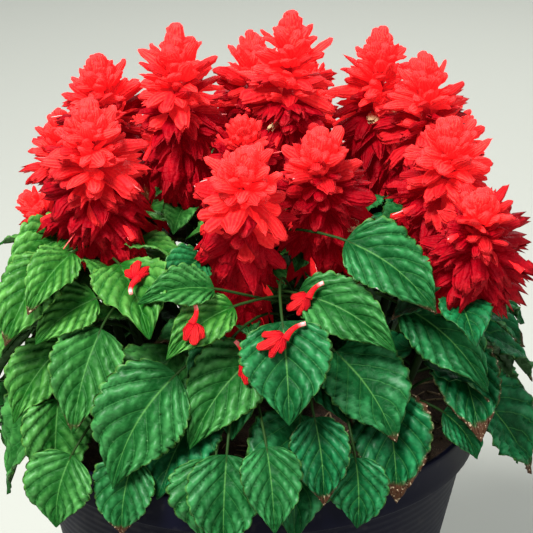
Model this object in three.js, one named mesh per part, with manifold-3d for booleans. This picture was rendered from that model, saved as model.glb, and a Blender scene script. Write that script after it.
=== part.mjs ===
// A scarlet salvia (Salvia splendens) growing in its plastic pot.
// Millimetres, +Z up, the front of the plant towards -Y. The origin is the middle of the pot's base.
// Azimuths are in degrees round the pot: 0 is the front (-Y) and 90 the right (+X).
import * as THREE from 'three';
import Module from 'manifold-3d';

const wasm = await Module();
wasm.setup();

// ---------------------------------------------------------------- driving dimensions
const GAP = 0.3; // clearance between pieces that touch
const SHORTEST_EDGE = 0.1; // shorter ones, where leaves join their stem, are merged
const ROUND_SIDES = 30; // sides of the pot and of the soil in it

const POT_HEIGHT = 215;
const POT_BASE_RADIUS = 93;
const POT_RIM_RADIUS = 140; // outside of the rim band
const POT_WALL = 3;
const POT_FLOOR = 4;
const RIM_BAND = 22; // height of the band
const RIM_STEP = 5; // how far the band stands out of the wall
const DRAIN_HOLES = 6;
const DRAIN_RADIUS = 5;
const DRAIN_CIRCLE = 62; // radius of the ring of drain holes

const SOIL_LEVEL = 208; // at the wall
const SOIL_DOME = 8; // how much higher the middle is
const SOIL_LUMP = 1.5;
const SOIL_SHOULDER = 0.6; // where the dome has a ring of points, against the radius
const HOLE_DEPTH = 30; // of a stem in the soil

const STEM_HALF_SIDE = 3.2; // a salvia's stem is square
const STEM_TAPER = 0.72; // its size at the top against the bottom
const STEM_GATHER = 0.68; // how far out a stem stands in the soil against its flower spike
const STEM_STATIONS = 5;
const STEM_LEAN = 1.5; // power of the height by which it leans out

const LEAF_THICKNESS = 2.4; // along the midrib; the blade thins to its margin
const LEAF_DROOP = 46; // degrees that a blade bends down from base to tip
const LEAF_WIDEST = 0.62; // power that sets the widest place a third of the way along
const LEAF_FULLNESS = 0.85; // power that rounds the outline
const LEAF_THINNING = 0.6; // part of its thickness lost at the tip
const LEAF_FOLD = 0.16; // rise of the margin against its distance from the midrib
const LEAF_WAVE = 0.05; // rise and fall of the margin against the length
const LEAF_WAVES = 1.5; // from base to tip
const TOOTH_PITCH = 15; // length of leaf for each tooth of a side, of which there are 3 to 5
const TOOTH_DEPTH = 0.1; // of the margin's teeth against the half width
const TOOTH_LEAD = 0.75; // how far a tooth lies past the middle of its step
const NOTCH_LEAD = 0.45; // the same for a notch
const TIP_STEPS = 1.2; // steps between the last tooth and the tip
const FACE_ROLL = 50; // most degrees that a blade rolls to turn its face outwards
const PETIOLE_RADIUS = 1.5;
const PETIOLE_FALL = 0.45; // drop from the blade to the stem against the way between them
const PETIOLE_BEND = 0.6; // how far behind the blade its bend lies against that way
const LEAST_AHEAD = -0.1; // least cosine between a petiole and the blade it carries, seen from above
const LOWEST_JOINT = 8; // above the soil
const HIGHEST_JOINT = 6; // below the flower spike
const RISE_COST = 2; // how much worse a joint above the blade's base is than one as far off
const JOINT_CHOICES = 3; // stems that a leaf can choose from
const CLEAR_SWELL = 2.6; // what a trial blade is thicker than a blade
const OWN_PART = 0.35; // part of a petiole that may meet the leaves of its own stem

const FLORET_LENGTH = 28; // of the lowest florets
const FLORET_WIDTH = 15;
const FLORET_SHARE = 0.8; // its width at most, against its share of the round
const FLORET_DEPTH = 5;
const FLORET_WAIST = 0.68; // where a floret is widest along its length
const FLORET_DROOP = 22;
const FLORET_JITTER = 0.05;
const FLORET_FIRST = 0.4; // size of the florets next to the bud against the lowest
const FLORET_GROWTH = 0.15; // more than that in each next whorl
const FLORET_LEAST = 0.4; // part of its size that a floret keeps to stay on its own side
const FLORET_SHRINK = 0.88; // in each step down to that
const WHORL_FLORETS = 5;
const WHORL_STEP = 5.5; // at a spike's tip; each next one is 1 mm longer, up to the most
const WHORL_STEP_MOST = 11.5;
const TOP_PITCH = 72; // of the florets next to the bud, against the spoke
const PITCH_STEP = 19;
const LOW_PITCH = -42;
const CORE_RADIUS = 6.5; // of the flowering stem with its bracts, at the foot
const CORE_TOP_RADIUS = 2;
const BUD_LENGTH = 6;

const SEED = 11;
const PAIR_MARK = 100; // numbers from which the leaves in pairs and in tiers are counted
const TIER_MARK = 200;

// The flower spikes: foot x, y, z, tip x, y, z and the length of its florets against the usual one.
const SPIKES = [
  [-88, -45, 346, -90, -62, 420, 1.0],
  [-80, 30, 350, -92, 28, 421, 1.0],
  [-106, -8, 326, -134, -12, 350, 0.75],
  [-42, 10, 360, -44, 10, 442, 1.0],
  [20, 15, 360, 24, 25, 448, 1.0],
  [-2, 60, 350, 2, 65, 424, 0.95],
  [-1, -10, 350, -5, -25, 402, 0.8],
  [-8, -50, 300, -1, -100, 407, 1.0],
  [40, -35, 333, 40, -62, 404, 1.0],
  [80, 62, 340, 80, 66, 427, 0.95],
  [108, 22, 346, 105, 24, 423, 0.95],
  [114, -28, 326, 115, -48, 407, 1.0],
  [126, -74, 325, 128, -100, 382, 0.95],
  [-72, 78, 304, -74, 84, 368, 0.9],
  [-30, 105, 304, -32, 114, 366, 0.9],
  [35, 105, 318, 36, 114, 396, 0.95],
  [75, 108, 306, 78, 118, 382, 0.9],
  [120, 72, 306, 126, 78, 380, 0.95],
  [-112, 60, 308, -120, 66, 376, 0.9],
];

const SLIDE_SLOPE = 22; // degrees down the line of sight, along which a front leaf may slide

// The large leaves of the front: azimuth, height and reach of the blade's base, how far its heading
// swings from the azimuth, pitch, length and width.
const FRONT_LEAVES = [
  [9, 316, 118, -2, -58, 60, 48],
  [38, 264, 125, -22, -66, 66, 44],
  [-20, 282, 120, -46, -58, 78, 51],
  [3, 293, 108, -62, -47, 69, 41],
  [-8, 240, 136, -4, -72, 52, 46],
  [49, 309, 115, 32, -41, 74, 39],
  [40, 344, 85, 23, -31, 68, 39],
  [17, 322, 95, 43, -29, 69, 33],
  [-42, 336, 110, 61, -19, 66, 40],
  [67, 272, 130, -48, -43, 64, 39],
  [-5, 246, 142, -2, -74, 58, 40],
  [16, 262, 132, 3, -71, 52, 32],
  [-44, 299, 122, 19, -55, 64, 39],
  [-58, 334, 132, 17, -45, 59, 35],
  [-54, 285, 132, -8, -52, 57, 33],
  [-51, 255, 142, 31, -67, 54, 40],
  [-44, 228, 147, -6, -74, 46, 40],
  [-12, 325, 92, -40, -10, 48, 23],
  [-5, 318, 100, -48, -33, 52, 26],
  [-20, 337, 78, -18, -22, 36, 25],
  [-67, 342, 108, 32, -17, 62, 32],
  [85, 306, 108, -8, -24, 52, 28],
  [55, 242, 138, 30, -55, 38, 24],
  [-58, 336, 120, 26, -29, 50, 26],
  [-49, 313, 116, -10, -36, 46, 28],
  [24, 240, 146, 4, -74, 44, 34],
  [4, 250, 140, 8, -72, 50, 33],
  [-27, 236, 146, 6, -74, 46, 37],
  [41, 288, 98, -25, -47, 44, 28],
  [9, 313, 86, 72, 6, 36, 22],
  [-7, 293, 90, -44, -45, 44, 30],
  [19, 281, 102, 15, -42, 42, 28],
  [-22, 330, 70, 20, 5, 44, 26],
];

// The leaves all round, in tiers from the crown of the foliage down to the pot's rim.
const TIERS = 5;
const TIER_LEAVES = 13;
const INNER_LEAVES = 9; // in one more tier inside the crown
const TIER_LENGTH = 72;
const TIER_WIDTH = 54;
const CROWN_HEIGHT = 318; // at the sides
const CROWN_RISE = 20; // higher than that in front and lower at the back
const CROWN_REACH = 92;
const RIM_REACH = 143;
const RIM_HEIGHT = 226;
const FRONT_TUCK = 36; // how far the tiers stand back behind the front leaves
const FRONT_COSINE = 0.45; // of the azimuths that count as the front
const TIERS_BEHIND_FRONT = [-1, 2, 3]; // the tiers that go on behind it
const TOP_TIER_PITCH = -24;
const LOW_TIER_PITCH = -68;
const SWING = 22; // most degrees that a leaf heads away from the azimuth it stands at

// The small leaves in pairs below each flower spike.
const PAIR_DROP = 14;
const PAIR_REACH = 16;
const PAIR_RISE = 6;
const PAIR_PITCH = -8;
const PAIR_LENGTH = 44;
const PAIR_WIDTH = 28;

// Florets that have dropped: the front leaf they lie on, how far along it, turn and size.
const FALLEN_SECTIONS = [[0, 5, 4], [0.6, 15, 8], [1, 3, 2]]; // place, width and depth along it
const FALLEN = [
  [8, 0.42, 150, 24],
  [0, 0.16, -60, 26],
  [3, 0.12, 70, 24],
  [7, 0.1, -120, 22],
  [18, 0.5, 40, 20],
];

// ---------------------------------------------------------------- small helpers
const radians = THREE.MathUtils.degToRad;
const UP = new THREE.Vector3(0, 0, 1);

// A number from 0 to 1 that looks random but is the same on every run.
function scatter(i, j) {
  const wave = Math.sin(i * 12.9898 + j * 78.233 + SEED) * 43758.5453;
  return wave - Math.floor(wave);
}

// A number from -1 to 1.
function jitter(i, j) {
  return 2 * scatter(i, j) - 1;
}

// The horizontal direction at an azimuth.
function outward(azimuth) {
  return new THREE.Vector3(Math.sin(radians(azimuth)), -Math.cos(radians(azimuth)), 0);
}

// A manifold solid from points and triangles.
function solid(points, triangles) {
  const vertProperties = new Float32Array(points.flatMap((p) => [p.x, p.y, p.z]));
  const triVerts = new Uint32Array(triangles.flat());
  return new wasm.Manifold(new wasm.Mesh({ numProp: 3, vertProperties, triVerts }));
}

// A named mesh from a manifold solid.
function meshOf(name, body, material) {
  const { vertProperties, triVerts } = body.getMesh();
  const geometry = new THREE.BufferGeometry();
  geometry.setAttribute('position', new THREE.BufferAttribute(new Float32Array(vertProperties), 3));
  geometry.setIndex(new THREE.BufferAttribute(new Uint32Array(triVerts), 1));
  geometry.computeVertexNormals();
  const mesh = new THREE.Mesh(geometry, material);
  mesh.name = name;
  return mesh;
}

// The triangles between rings of points that follow each other, each ring anticlockwise as seen from
// the far end, with a flat cap on both ends.
function ringTriangles(rings, sides) {
  const triangles = [];
  for (let ring = 0; ring < rings - 1; ring++) {
    for (let side = 0; side < sides; side++) {
      const a = ring * sides + side;
      const b = ring * sides + ((side + 1) % sides);
      triangles.push([a, b, b + sides], [a, b + sides, a + sides]);
    }
  }
  const last = (rings - 1) * sides;
  for (let side = 1; side < sides - 1; side++) {
    triangles.push([0, side + 1, side], [last, last + side, last + side + 1]);
  }
  return triangles;
}

// A solid of revolution from a closed profile of [radius, height] points, anticlockwise in the
// half plane with the radius to the right. Points on the axis become one point each.
function turned(profile) {
  const points = [];
  const firsts = profile.map(([radius, height]) => {
    const first = points.length;
    const copies = radius === 0 ? 1 : ROUND_SIDES;
    for (let side = 0; side < copies; side++) {
      const angle = (2 * Math.PI * side) / ROUND_SIDES;
      points.push(new THREE.Vector3(radius * Math.cos(angle), radius * Math.sin(angle), height));
    }
    return first;
  });
  const triangles = [];
  profile.forEach(([radius], i) => {
    const j = (i + 1) % profile.length;
    for (let side = 0; side < ROUND_SIDES; side++) {
      const next = (side + 1) % ROUND_SIDES;
      const a = firsts[i] + (radius === 0 ? 0 : side);
      const b = firsts[i] + (radius === 0 ? 0 : next);
      const c = firsts[j] + (profile[j][0] === 0 ? 0 : side);
      const d = firsts[j] + (profile[j][0] === 0 ? 0 : next);
      if (a !== b) triangles.push([a, b, c]);
      if (c !== d) triangles.push([b, d, c]);
    }
  });
  return { points, triangles };
}

// An upright prism with a regular section.
function post(x, y, bottom, top, radius, sides, turn = 0) {
  const points = [];
  for (const height of [bottom, top]) {
    for (let side = 0; side < sides; side++) {
      const angle = turn + (2 * Math.PI * side) / sides;
      points.push(new THREE.Vector3(x + radius * Math.cos(angle), y + radius * Math.sin(angle), height));
    }
  }
  return solid(points, ringTriangles(2, sides));
}

// ---------------------------------------------------------------- pot and soil
const wallHeight = POT_HEIGHT - RIM_BAND;
const wallTopRadius = POT_RIM_RADIUS - RIM_STEP;
const wallSlope = (wallTopRadius - POT_BASE_RADIUS) / wallHeight;

function wallRadius(height) {
  return POT_BASE_RADIUS + wallSlope * height;
}

function makePot() {
  const inner = wallRadius(POT_HEIGHT) - POT_WALL;
  const { points, triangles } = turned([
    [0, 0],
    [POT_BASE_RADIUS, 0],
    [wallTopRadius, wallHeight],
    [POT_RIM_RADIUS, wallHeight],
    [POT_RIM_RADIUS, POT_HEIGHT],
    [inner, POT_HEIGHT],
    [wallRadius(POT_FLOOR) - POT_WALL, POT_FLOOR],
    [0, POT_FLOOR],
  ]);
  let body = solid(points, triangles);
  for (let hole = 0; hole < DRAIN_HOLES; hole++) {
    const place = outward((360 / DRAIN_HOLES) * hole).multiplyScalar(DRAIN_CIRCLE);
    body = body.subtract(post(place.x, place.y, -1, POT_FLOOR + 1, DRAIN_RADIUS, 6));
  }
  return body;
}

// Height of the soil's surface at a distance from the middle.
function soilHeight(reach) {
  return SOIL_LEVEL + SOIL_DOME * (1 - (reach / wallRadius(SOIL_LEVEL)) ** 2);
}

function makeSoil(stems) {
  const bottom = POT_FLOOR + GAP;
  const edge = wallRadius(SOIL_LEVEL) - POT_WALL - GAP;
  const { points, triangles } = turned([
    [0, bottom],
    [wallRadius(bottom) - POT_WALL - GAP, bottom],
    [edge, SOIL_LEVEL],
    [edge * SOIL_SHOULDER, soilHeight(edge * SOIL_SHOULDER)],
    [0, soilHeight(0)],
  ]);
  const innerPoints = points.filter((p) => p.z > SOIL_LEVEL);
  innerPoints.forEach((point, i) => {
    point.z += SOIL_LUMP * jitter(i, 900);
  });
  const holes = stems.map((stem) => {
    const { x, y } = stem.root;
    const radius = STEM_HALF_SIDE * Math.SQRT2 + GAP * Math.SQRT2;
    return post(x, y, stem.bottom - GAP, 2 * SOIL_LEVEL, radius, 4, Math.PI / 4);
  });
  return holes.reduce((body, hole) => body.subtract(hole), solid(points, triangles));
}

// ---------------------------------------------------------------- stems
// A stem stands upright in its hole and then bends out to the foot of its flower spike.
function planStem(spike) {
  const foot = new THREE.Vector3(...spike.slice(0, 3));
  const tip = new THREE.Vector3(...spike.slice(3, 6));
  const root = new THREE.Vector3(foot.x * STEM_GATHER, foot.y * STEM_GATHER, 0);
  const ground = soilHeight(root.length());
  return {
    foot,
    tip,
    root,
    ground,
    bottom: ground - HOLE_DEPTH,
    axis: tip.clone().sub(foot).normalize(),
    florets: spike[6],
  };
}

// Point of a stem's axis at a height above the ground.
function stemPoint(stem, height) {
  const part = THREE.MathUtils.clamp((height - stem.ground) / (stem.foot.z - stem.ground), 0, 1);
  const lean = part ** STEM_LEAN;
  return new THREE.Vector3(
    THREE.MathUtils.lerp(stem.root.x, stem.foot.x, lean),
    THREE.MathUtils.lerp(stem.root.y, stem.foot.y, lean),
    height,
  );
}

// Four corners round a point, square to a direction.
function squareRing(centre, direction, halfSide) {
  const right = new THREE.Vector3(1, 0, 0).addScaledVector(direction, -direction.x).normalize();
  const back = direction.clone().cross(right);
  const corners = [[-1, -1], [1, -1], [1, 1], [-1, 1]];
  return corners.map(([i, j]) =>
    centre.clone().addScaledVector(right, i * halfSide).addScaledVector(back, j * halfSide));
}

function stemBody(stem) {
  const points = squareRing(new THREE.Vector3(stem.root.x, stem.root.y, stem.bottom), UP, STEM_HALF_SIDE);
  for (let station = 0; station < STEM_STATIONS; station++) {
    const part = station / (STEM_STATIONS - 1);
    const height = THREE.MathUtils.lerp(stem.ground, stem.foot.z, part);
    const here = stemPoint(stem, height);
    const rise = stemPoint(stem, height + 1).sub(stemPoint(stem, height - 1)).normalize();
    const direction = part === 0 ? UP : part === 1 ? stem.axis : rise;
    const halfSide = STEM_HALF_SIDE * THREE.MathUtils.lerp(1, STEM_TAPER, part);
    points.push(...squareRing(here, direction, halfSide));
  }
  return solid(points, ringTriangles(STEM_STATIONS + 1, 4));
}

// ---------------------------------------------------------------- leaves
// Places across and above the middle of a petiole for the three points of its ring.
const RING = [[1, -0.5], [0, 1], [-1, -0.5]];

// A leaf is { base, heading, pitch, length, width, roll, teeth }: the blade's base point, its compass
// heading, the pitch from base to tip, and so on.

// Half width of the outline against the greatest, along the blade from 0 to 1.
function leafOutline(part) {
  return Math.sin(Math.PI * part ** LEAF_WIDEST) ** LEAF_FULLNESS;
}

// Middle line of the blade, an arc that bends down: point, direction, side and normal.
function leafStation(leaf, part) {
  const droop = radians(LEAF_DROOP);
  const start = radians(leaf.pitch) + droop / 2;
  const pitch = start - droop * part;
  const forward = outward(leaf.heading);
  const run = (leaf.length / droop) * (Math.sin(start) - Math.sin(pitch));
  const rise = (leaf.length / droop) * (Math.cos(pitch) - Math.cos(start));
  const direction = forward.clone().multiplyScalar(Math.cos(pitch)).addScaledVector(UP, Math.sin(pitch));
  const flatNormal = forward.clone().multiplyScalar(-Math.sin(pitch)).addScaledVector(UP, Math.cos(pitch));
  const flatSide = flatNormal.clone().cross(direction);
  const roll = radians(leaf.roll);
  const point = leaf.base.clone().addScaledVector(forward, run).addScaledVector(UP, rise);
  const side = flatSide.clone().multiplyScalar(Math.cos(roll)).addScaledVector(flatNormal, Math.sin(roll));
  const normal = flatNormal.multiplyScalar(Math.cos(roll)).addScaledVector(flatSide, -Math.sin(roll));
  return { point, direction, side, normal };
}

// A point of the margin: teeth point forward, and the margin is raised by the fold and waves.
function marginPoint(leaf, hand, step, spread) {
  const isTooth = step % 2 === 1;
  const part = (step + (isTooth ? TOOTH_LEAD : NOTCH_LEAD)) / (2 * leaf.teeth + TIP_STEPS);
  const { point, side, normal } = leafStation(leaf, part);
  const trim = isTooth ? 1 : 1 - TOOTH_DEPTH;
  const reach = (leaf.width / 2) * leafOutline(part) * trim + spread;
  const turns = LEAF_WAVES * part + hand / 4 + leaf.phase;
  const wave = LEAF_WAVE * leaf.length * Math.sin(2 * Math.PI * turns) * Math.sin(Math.PI * part);
  const rise = LEAF_FOLD * reach + wave;
  return { part, point: point.addScaledVector(side, hand * reach).addScaledVector(normal, rise) };
}

// One blade, with the same triangles above and below and open at its base, where its three first
// points are the ring that the petiole joins.
function bladeShape(leaf, swell = 0) {
  const thickness = LEAF_THICKNESS + swell;
  const stations = leaf.teeth;
  const points = [];
  const start = leafStation(leaf, 0);
  const radius = PETIOLE_RADIUS + swell / 2;
  for (const [across, above] of RING) {
    const place = start.point.clone().addScaledVector(start.side, across * radius);
    points.push(place.addScaledVector(start.normal, above * radius));
  }
  const top = [{ part: 0, index: 1 }];
  const bottom = [];
  for (let station = 1; station < stations; station++) {
    const part = station / stations;
    const { point, normal } = leafStation(leaf, part);
    const half = (thickness / 2) * (1 - LEAF_THINNING * part);
    top.push({ part, index: points.length });
    points.push(point.clone().addScaledVector(normal, half));
    bottom.push({ part, index: points.length });
    points.push(point.clone().addScaledVector(normal, -half));
  }
  const tip = { part: 1, index: points.length };
  points.push(leafStation(leaf, 1).point);
  top.push(tip);
  bottom.push(tip);
  const triangles = [[2, 0, bottom[0].index]];
  for (const hand of [-1, 1]) {
    const margin = [{ part: 0, index: hand > 0 ? 0 : 2 }];
    for (let step = 0; step < 2 * leaf.teeth; step++) {
      const { part, point } = marginPoint(leaf, hand, step, swell / 2);
      margin.push({ part, index: points.length });
      points.push(point);
    }
    margin.push(tip);
    zip(top, margin, hand < 0, triangles);
    zip(bottom, margin, hand > 0, triangles);
  }
  return { points, triangles };
}

// Triangles between a middle line and a margin that share their last point.
function zip(middle, margin, flip, triangles) {
  let i = 0;
  let j = 0;
  while (i < middle.length - 1 || j < margin.length - 1) {
    const isMiddleNext = j === margin.length - 1
      || (i < middle.length - 1 && middle[i + 1].part < margin[j + 1].part);
    const corner = isMiddleNext ? middle[i + 1] : margin[j + 1];
    const triangle = [middle[i].index, margin[j].index, corner.index];
    if (isMiddleNext) i++;
    else j++;
    const isFlat = new Set(triangle).size < 3;
    if (!isFlat) triangles.push(flip ? triangle : [triangle[0], triangle[2], triangle[1]]);
  }
}

// Points of the petiole's rings, from inside the stem, or further out, to just before the blade.
function petioleRings(leaf, swell = 0, from = 0) {
  const { direction } = leafStation(leaf, 0);
  const way = leaf.base.distanceTo(leaf.joint);
  const bend = leaf.base.clone().addScaledVector(direction, -PETIOLE_BEND * way);
  const curve = new THREE.QuadraticBezierCurve3(leaf.joint, bend, leaf.base);
  const radius = PETIOLE_RADIUS + swell / 2;
  const parts = [from, (1 + from) / 2];
  return parts.flatMap((part) => {
    const tangent = curve.getTangent(part);
    const side = UP.clone().cross(tangent).normalize().applyAxisAngle(tangent, radians(leaf.roll) * part);
    const normal = tangent.clone().cross(side);
    return RING.map(([across, above]) =>
      curve.getPoint(part)
        .addScaledVector(side, across * radius)
        .addScaledVector(normal, above * radius));
  });
}

// A whole leaf: petiole and blade as one closed body.
function leafBody(leaf) {
  const rings = petioleRings(leaf);
  const blade = bladeShape(leaf);
  const shift = rings.length;
  const triangles = blade.triangles.map((triangle) => triangle.map((index) => index + shift));
  triangles.push(...ringTriangles(shift / 3 + 1, 3).slice(0, -1));
  return solid([...rings, ...blade.points], triangles);
}

// A blade swollen on all sides, to try whether a place is free.
function trialBlade(leaf) {
  const { points, triangles } = bladeShape(leaf, CLEAR_SWELL);
  return solid(points, [...triangles, [0, 2, 1]]);
}

function trialPetiole(leaf, from) {
  const rings = petioleRings(leaf, CLEAR_SWELL / 2, from);
  const blade = bladeShape(leaf, CLEAR_SWELL / 2).points.slice(0, 3);
  return solid([...rings, ...blade], ringTriangles(rings.length / 3 + 1, 3));
}

// ---------------------------------------------------------------- flower spikes
// Distance from a point to the line through a spike's foot and tip.
function axisDistance(spike, point) {
  const offset = point.clone().sub(spike.foot);
  return offset.addScaledVector(spike.axis, -offset.dot(spike.axis)).length();
}

// Whether points lie on a spike's own side of the surface halfway to each of its neighbours.
function keepsSide(spike, neighbours, points) {
  return points.every((point) => {
    const own = axisDistance(spike, point);
    return neighbours.every((neighbour) => axisDistance(neighbour, point) > own + 2 * GAP);
  });
}

// The spoke from a spike's axis at an angle round it, the first as level as can be.
function spokeAt(spike, angle) {
  const right = new THREE.Vector3(1, 0, 0).addScaledVector(spike.axis, -spike.axis.x).normalize();
  const back = spike.axis.clone().cross(right);
  return right.multiplyScalar(Math.cos(angle)).addScaledVector(back, Math.sin(angle));
}

// How far below the tip the whorls of a spike lie: closer together towards the tip, with the last one
// at the foot.
function whorlDepths(length) {
  const depths = [0];
  while (depths.at(-1) <= length) {
    depths.push(depths.at(-1) + Math.min(WHORL_STEP + depths.length, WHORL_STEP_MOST));
  }
  depths.pop();
  return depths.map((depth) => depth * length / depths.at(-1));
}

// A floret: a three-sided horn, widest at its waist, that bends down from there. Its four points are
// the left, right and ridge of the waist and the tip.
function floretPoints(spike, angle, below, start, pitch, size) {
  const spoke = spokeAt(spike, angle);
  const side = spike.axis.clone().cross(spoke);
  const direction = spoke.clone().multiplyScalar(Math.cos(pitch))
    .addScaledVector(spike.axis, Math.sin(pitch));
  const normal = direction.clone().cross(side);
  const bent = direction.clone().applyAxisAngle(side, radians(FLORET_DROOP));
  const waist = spike.tip.clone().addScaledVector(spike.axis, -below)
    .addScaledVector(spoke, start).addScaledVector(direction, FLORET_WAIST * size);
  const share = 2 * axisDistance(spike, waist) * Math.sin(Math.PI / WHORL_FLORETS);
  const width = Math.min(FLORET_WIDTH * size / FLORET_LENGTH, FLORET_SHARE * share);
  const depth = FLORET_DEPTH * size / FLORET_LENGTH;
  return [
    waist.clone().addScaledVector(side, -width / 2).addScaledVector(normal, -depth / 2),
    waist.clone().addScaledVector(side, width / 2).addScaledVector(normal, -depth / 2),
    waist.clone().addScaledVector(normal, depth / 2),
    waist.clone().addScaledVector(bent, (1 - FLORET_WAIST) * size),
  ];
}

// A flower spike: a core in a lattice of rhombs, five round it, and out of each rhomb a floret,
// upright at the tip of the spike and hanging at its foot. It ends in a bud.
function spikeBody(spike, index, spikes) {
  const length = spike.foot.distanceTo(spike.tip) - GAP;
  const neighbours = spikes.filter((other) => other !== spike);
  const depths = whorlDepths(length);
  const levels = depths.length;
  const points = [];
  const angleOf = (level, i) => (2 * Math.PI * (i + 0.5 * (level % 2))) / WHORL_FLORETS;
  const coreRadius = (level) =>
    THREE.MathUtils.lerp(CORE_TOP_RADIUS, CORE_RADIUS, Math.sqrt(level / (levels - 1)));
  depths.forEach((below, level) => {
    for (let i = 0; i < WHORL_FLORETS; i++) {
      points.push(spike.tip.clone().addScaledVector(spike.axis, -below)
        .addScaledVector(spokeAt(spike, angleOf(level, i)), coreRadius(level)));
    }
  });
  const lattice = (level, i) => level * WHORL_FLORETS + (i + WHORL_FLORETS) % WHORL_FLORETS;
  const triangles = [];
  for (let level = 1; level < levels - 1; level++) {
    const rise = radians(Math.max(TOP_PITCH - PITCH_STEP * (level - 1), LOW_PITCH));
    const full = spike.florets * FLORET_LENGTH * Math.min(1, FLORET_FIRST + FLORET_GROWTH * level);
    for (let i = 0; i < WHORL_FLORETS; i++) {
      const top = lattice(level - 1, i + (level % 2));
      const bottom = lattice(level + 1, i + (level % 2));
      const left = lattice(level, i);
      const right = lattice(level, i + 1);
      const angle = angleOf(level, i + 0.5);
      const mark = 50 * index + level;
      const pitch = rise + FLORET_JITTER * jitter(i, mark);
      let size = full * (1 + FLORET_JITTER * jitter(i + 10, mark));
      let horn = floretPoints(spike, angle, depths[level], coreRadius(level), pitch, size);
      while (!keepsSide(spike, neighbours, horn) && size > FLORET_LEAST * full) {
        size *= FLORET_SHRINK;
        horn = floretPoints(spike, angle, depths[level], coreRadius(level), pitch, size);
      }
      const first = points.length;
      points.push(...horn);
      const [waistLeft, waistRight, ridge, tip] = [first, first + 1, first + 2, first + 3];
      triangles.push([top, left, waistLeft], [top, waistLeft, ridge], [left, bottom, waistLeft]);
      triangles.push([bottom, waistRight, waistLeft], [bottom, right, waistRight]);
      triangles.push([right, top, ridge], [right, ridge, waistRight]);
      triangles.push([waistLeft, waistRight, tip], [waistRight, ridge, tip], [ridge, waistLeft, tip]);
    }
  }
  const bud = points.length;
  points.push(spike.tip.clone().addScaledVector(spike.axis, BUD_LENGTH));
  for (let i = 0; i < WHORL_FLORETS; i++) {
    const low = levels - 1;
    triangles.push([bud, lattice(0, i), lattice(0, i + 1)]);
    triangles.push([lattice(0, i), lattice(1, i), lattice(0, i + 1)]);
    triangles.push([lattice(low, i + 1), lattice(low - 1, i + (low % 2)), lattice(low, i)]);
    const isFan = i > 0 && i < WHORL_FLORETS - 1;
    if (isFan) triangles.push([lattice(low, 0), lattice(low, i + 1), lattice(low, i)]);
  }
  return solid(points, triangles);
}

// ---------------------------------------------------------------- placing the leaves
// The ways to shift, turn and shrink a leaf until it is clear of what is there, nearest first.
function* tries() {
  for (const size of [1, 0.85, 0.7]) {
    for (const slide of [0, -5, 5, -10, 10, -16, 16]) {
      for (const lift of [0, 9, -9]) {
        for (const turn of [0, 12, -12]) yield { size, slide, lift, turn };
      }
    }
  }
}

// The leaf wished for, changed by one try. It slides along the line at which the foliage is looked at.
function changed(wish, change) {
  const slope = radians(SLIDE_SLOPE);
  const along = wish.slideWay.clone().multiplyScalar(change.slide * Math.cos(slope));
  return {
    ...wish,
    base: wish.base.clone().add(along).addScaledVector(UP, change.slide * Math.sin(slope)),
    heading: wish.heading + change.turn,
    pitch: wish.pitch + change.lift,
    length: wish.length * change.size,
    width: wish.width * change.size,
  };
}

// Joints on the stems that a leaf can grow from, nearest first. A petiole never doubles back.
function jointsFor(leaf, stems) {
  const { base } = leaf;
  const forward = outward(leaf.heading);
  const joints = stems.map((stem, owner) => {
    const away = Math.hypot(base.x - stem.foot.x, base.y - stem.foot.y);
    const wished = base.z - PETIOLE_FALL * away;
    const height = THREE.MathUtils.clamp(wished, stem.ground + LOWEST_JOINT, stem.foot.z - HIGHEST_JOINT);
    const point = stemPoint(stem, height);
    const way = base.clone().sub(point);
    const cost = way.length() + RISE_COST * Math.max(0, -way.z);
    return { owner, point, cost, isAhead: way.setZ(0).normalize().dot(forward) > LEAST_AHEAD };
  });
  return joints.filter((joint) => joint.isAhead).sort((a, b) => a.cost - b.cost).slice(0, JOINT_CHOICES);
}

function boxesMeet(a, b) {
  return [0, 1, 2].every((i) => a.min[i] <= b.max[i] && b.min[i] <= a.max[i]);
}

function meets(trial, obstacles) {
  const box = trial.boundingBox();
  return obstacles.some((obstacle) => {
    if (!boxesMeet(box, obstacle.box)) return false;
    const common = trial.intersect(obstacle.body);
    const isMet = !common.isEmpty();
    common.delete();
    return isMet;
  });
}

// Whether a petiole would meet another stem, or a leaf of its own stem away from where they join.
function isPetioleMet(leaf, owner, obstacles) {
  return [[0, (other) => other !== owner], [OWN_PART, (other) => other === owner]].some(([from, counts]) => {
    const petiole = trialPetiole(leaf, from);
    const isMet = meets(petiole, obstacles.filter((obstacle) => counts(obstacle.owner)));
    petiole.delete();
    return isMet;
  });
}

function addObstacle(obstacles, body, owner) {
  obstacles.push({ body, box: body.boundingBox(), owner });
}

// Finds the first free way for a leaf to grow, adds it to its stem and gives it back.
function placeLeaf(wish, stems, obstacles) {
  for (const change of tries()) {
    const leaf = changed(wish, change);
    const blade = trialBlade(leaf);
    const isBladeMet = meets(blade, obstacles);
    blade.delete();
    if (isBladeMet) continue;
    for (const joint of jointsFor(leaf, stems)) {
      leaf.joint = joint.point;
      if (isPetioleMet(leaf, joint.owner, obstacles)) continue;
      const body = leafBody(leaf);
      addObstacle(obstacles, body, joint.owner);
      stems[joint.owner].leaves.push(body);
      return leaf;
    }
  }
  return null;
}

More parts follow.
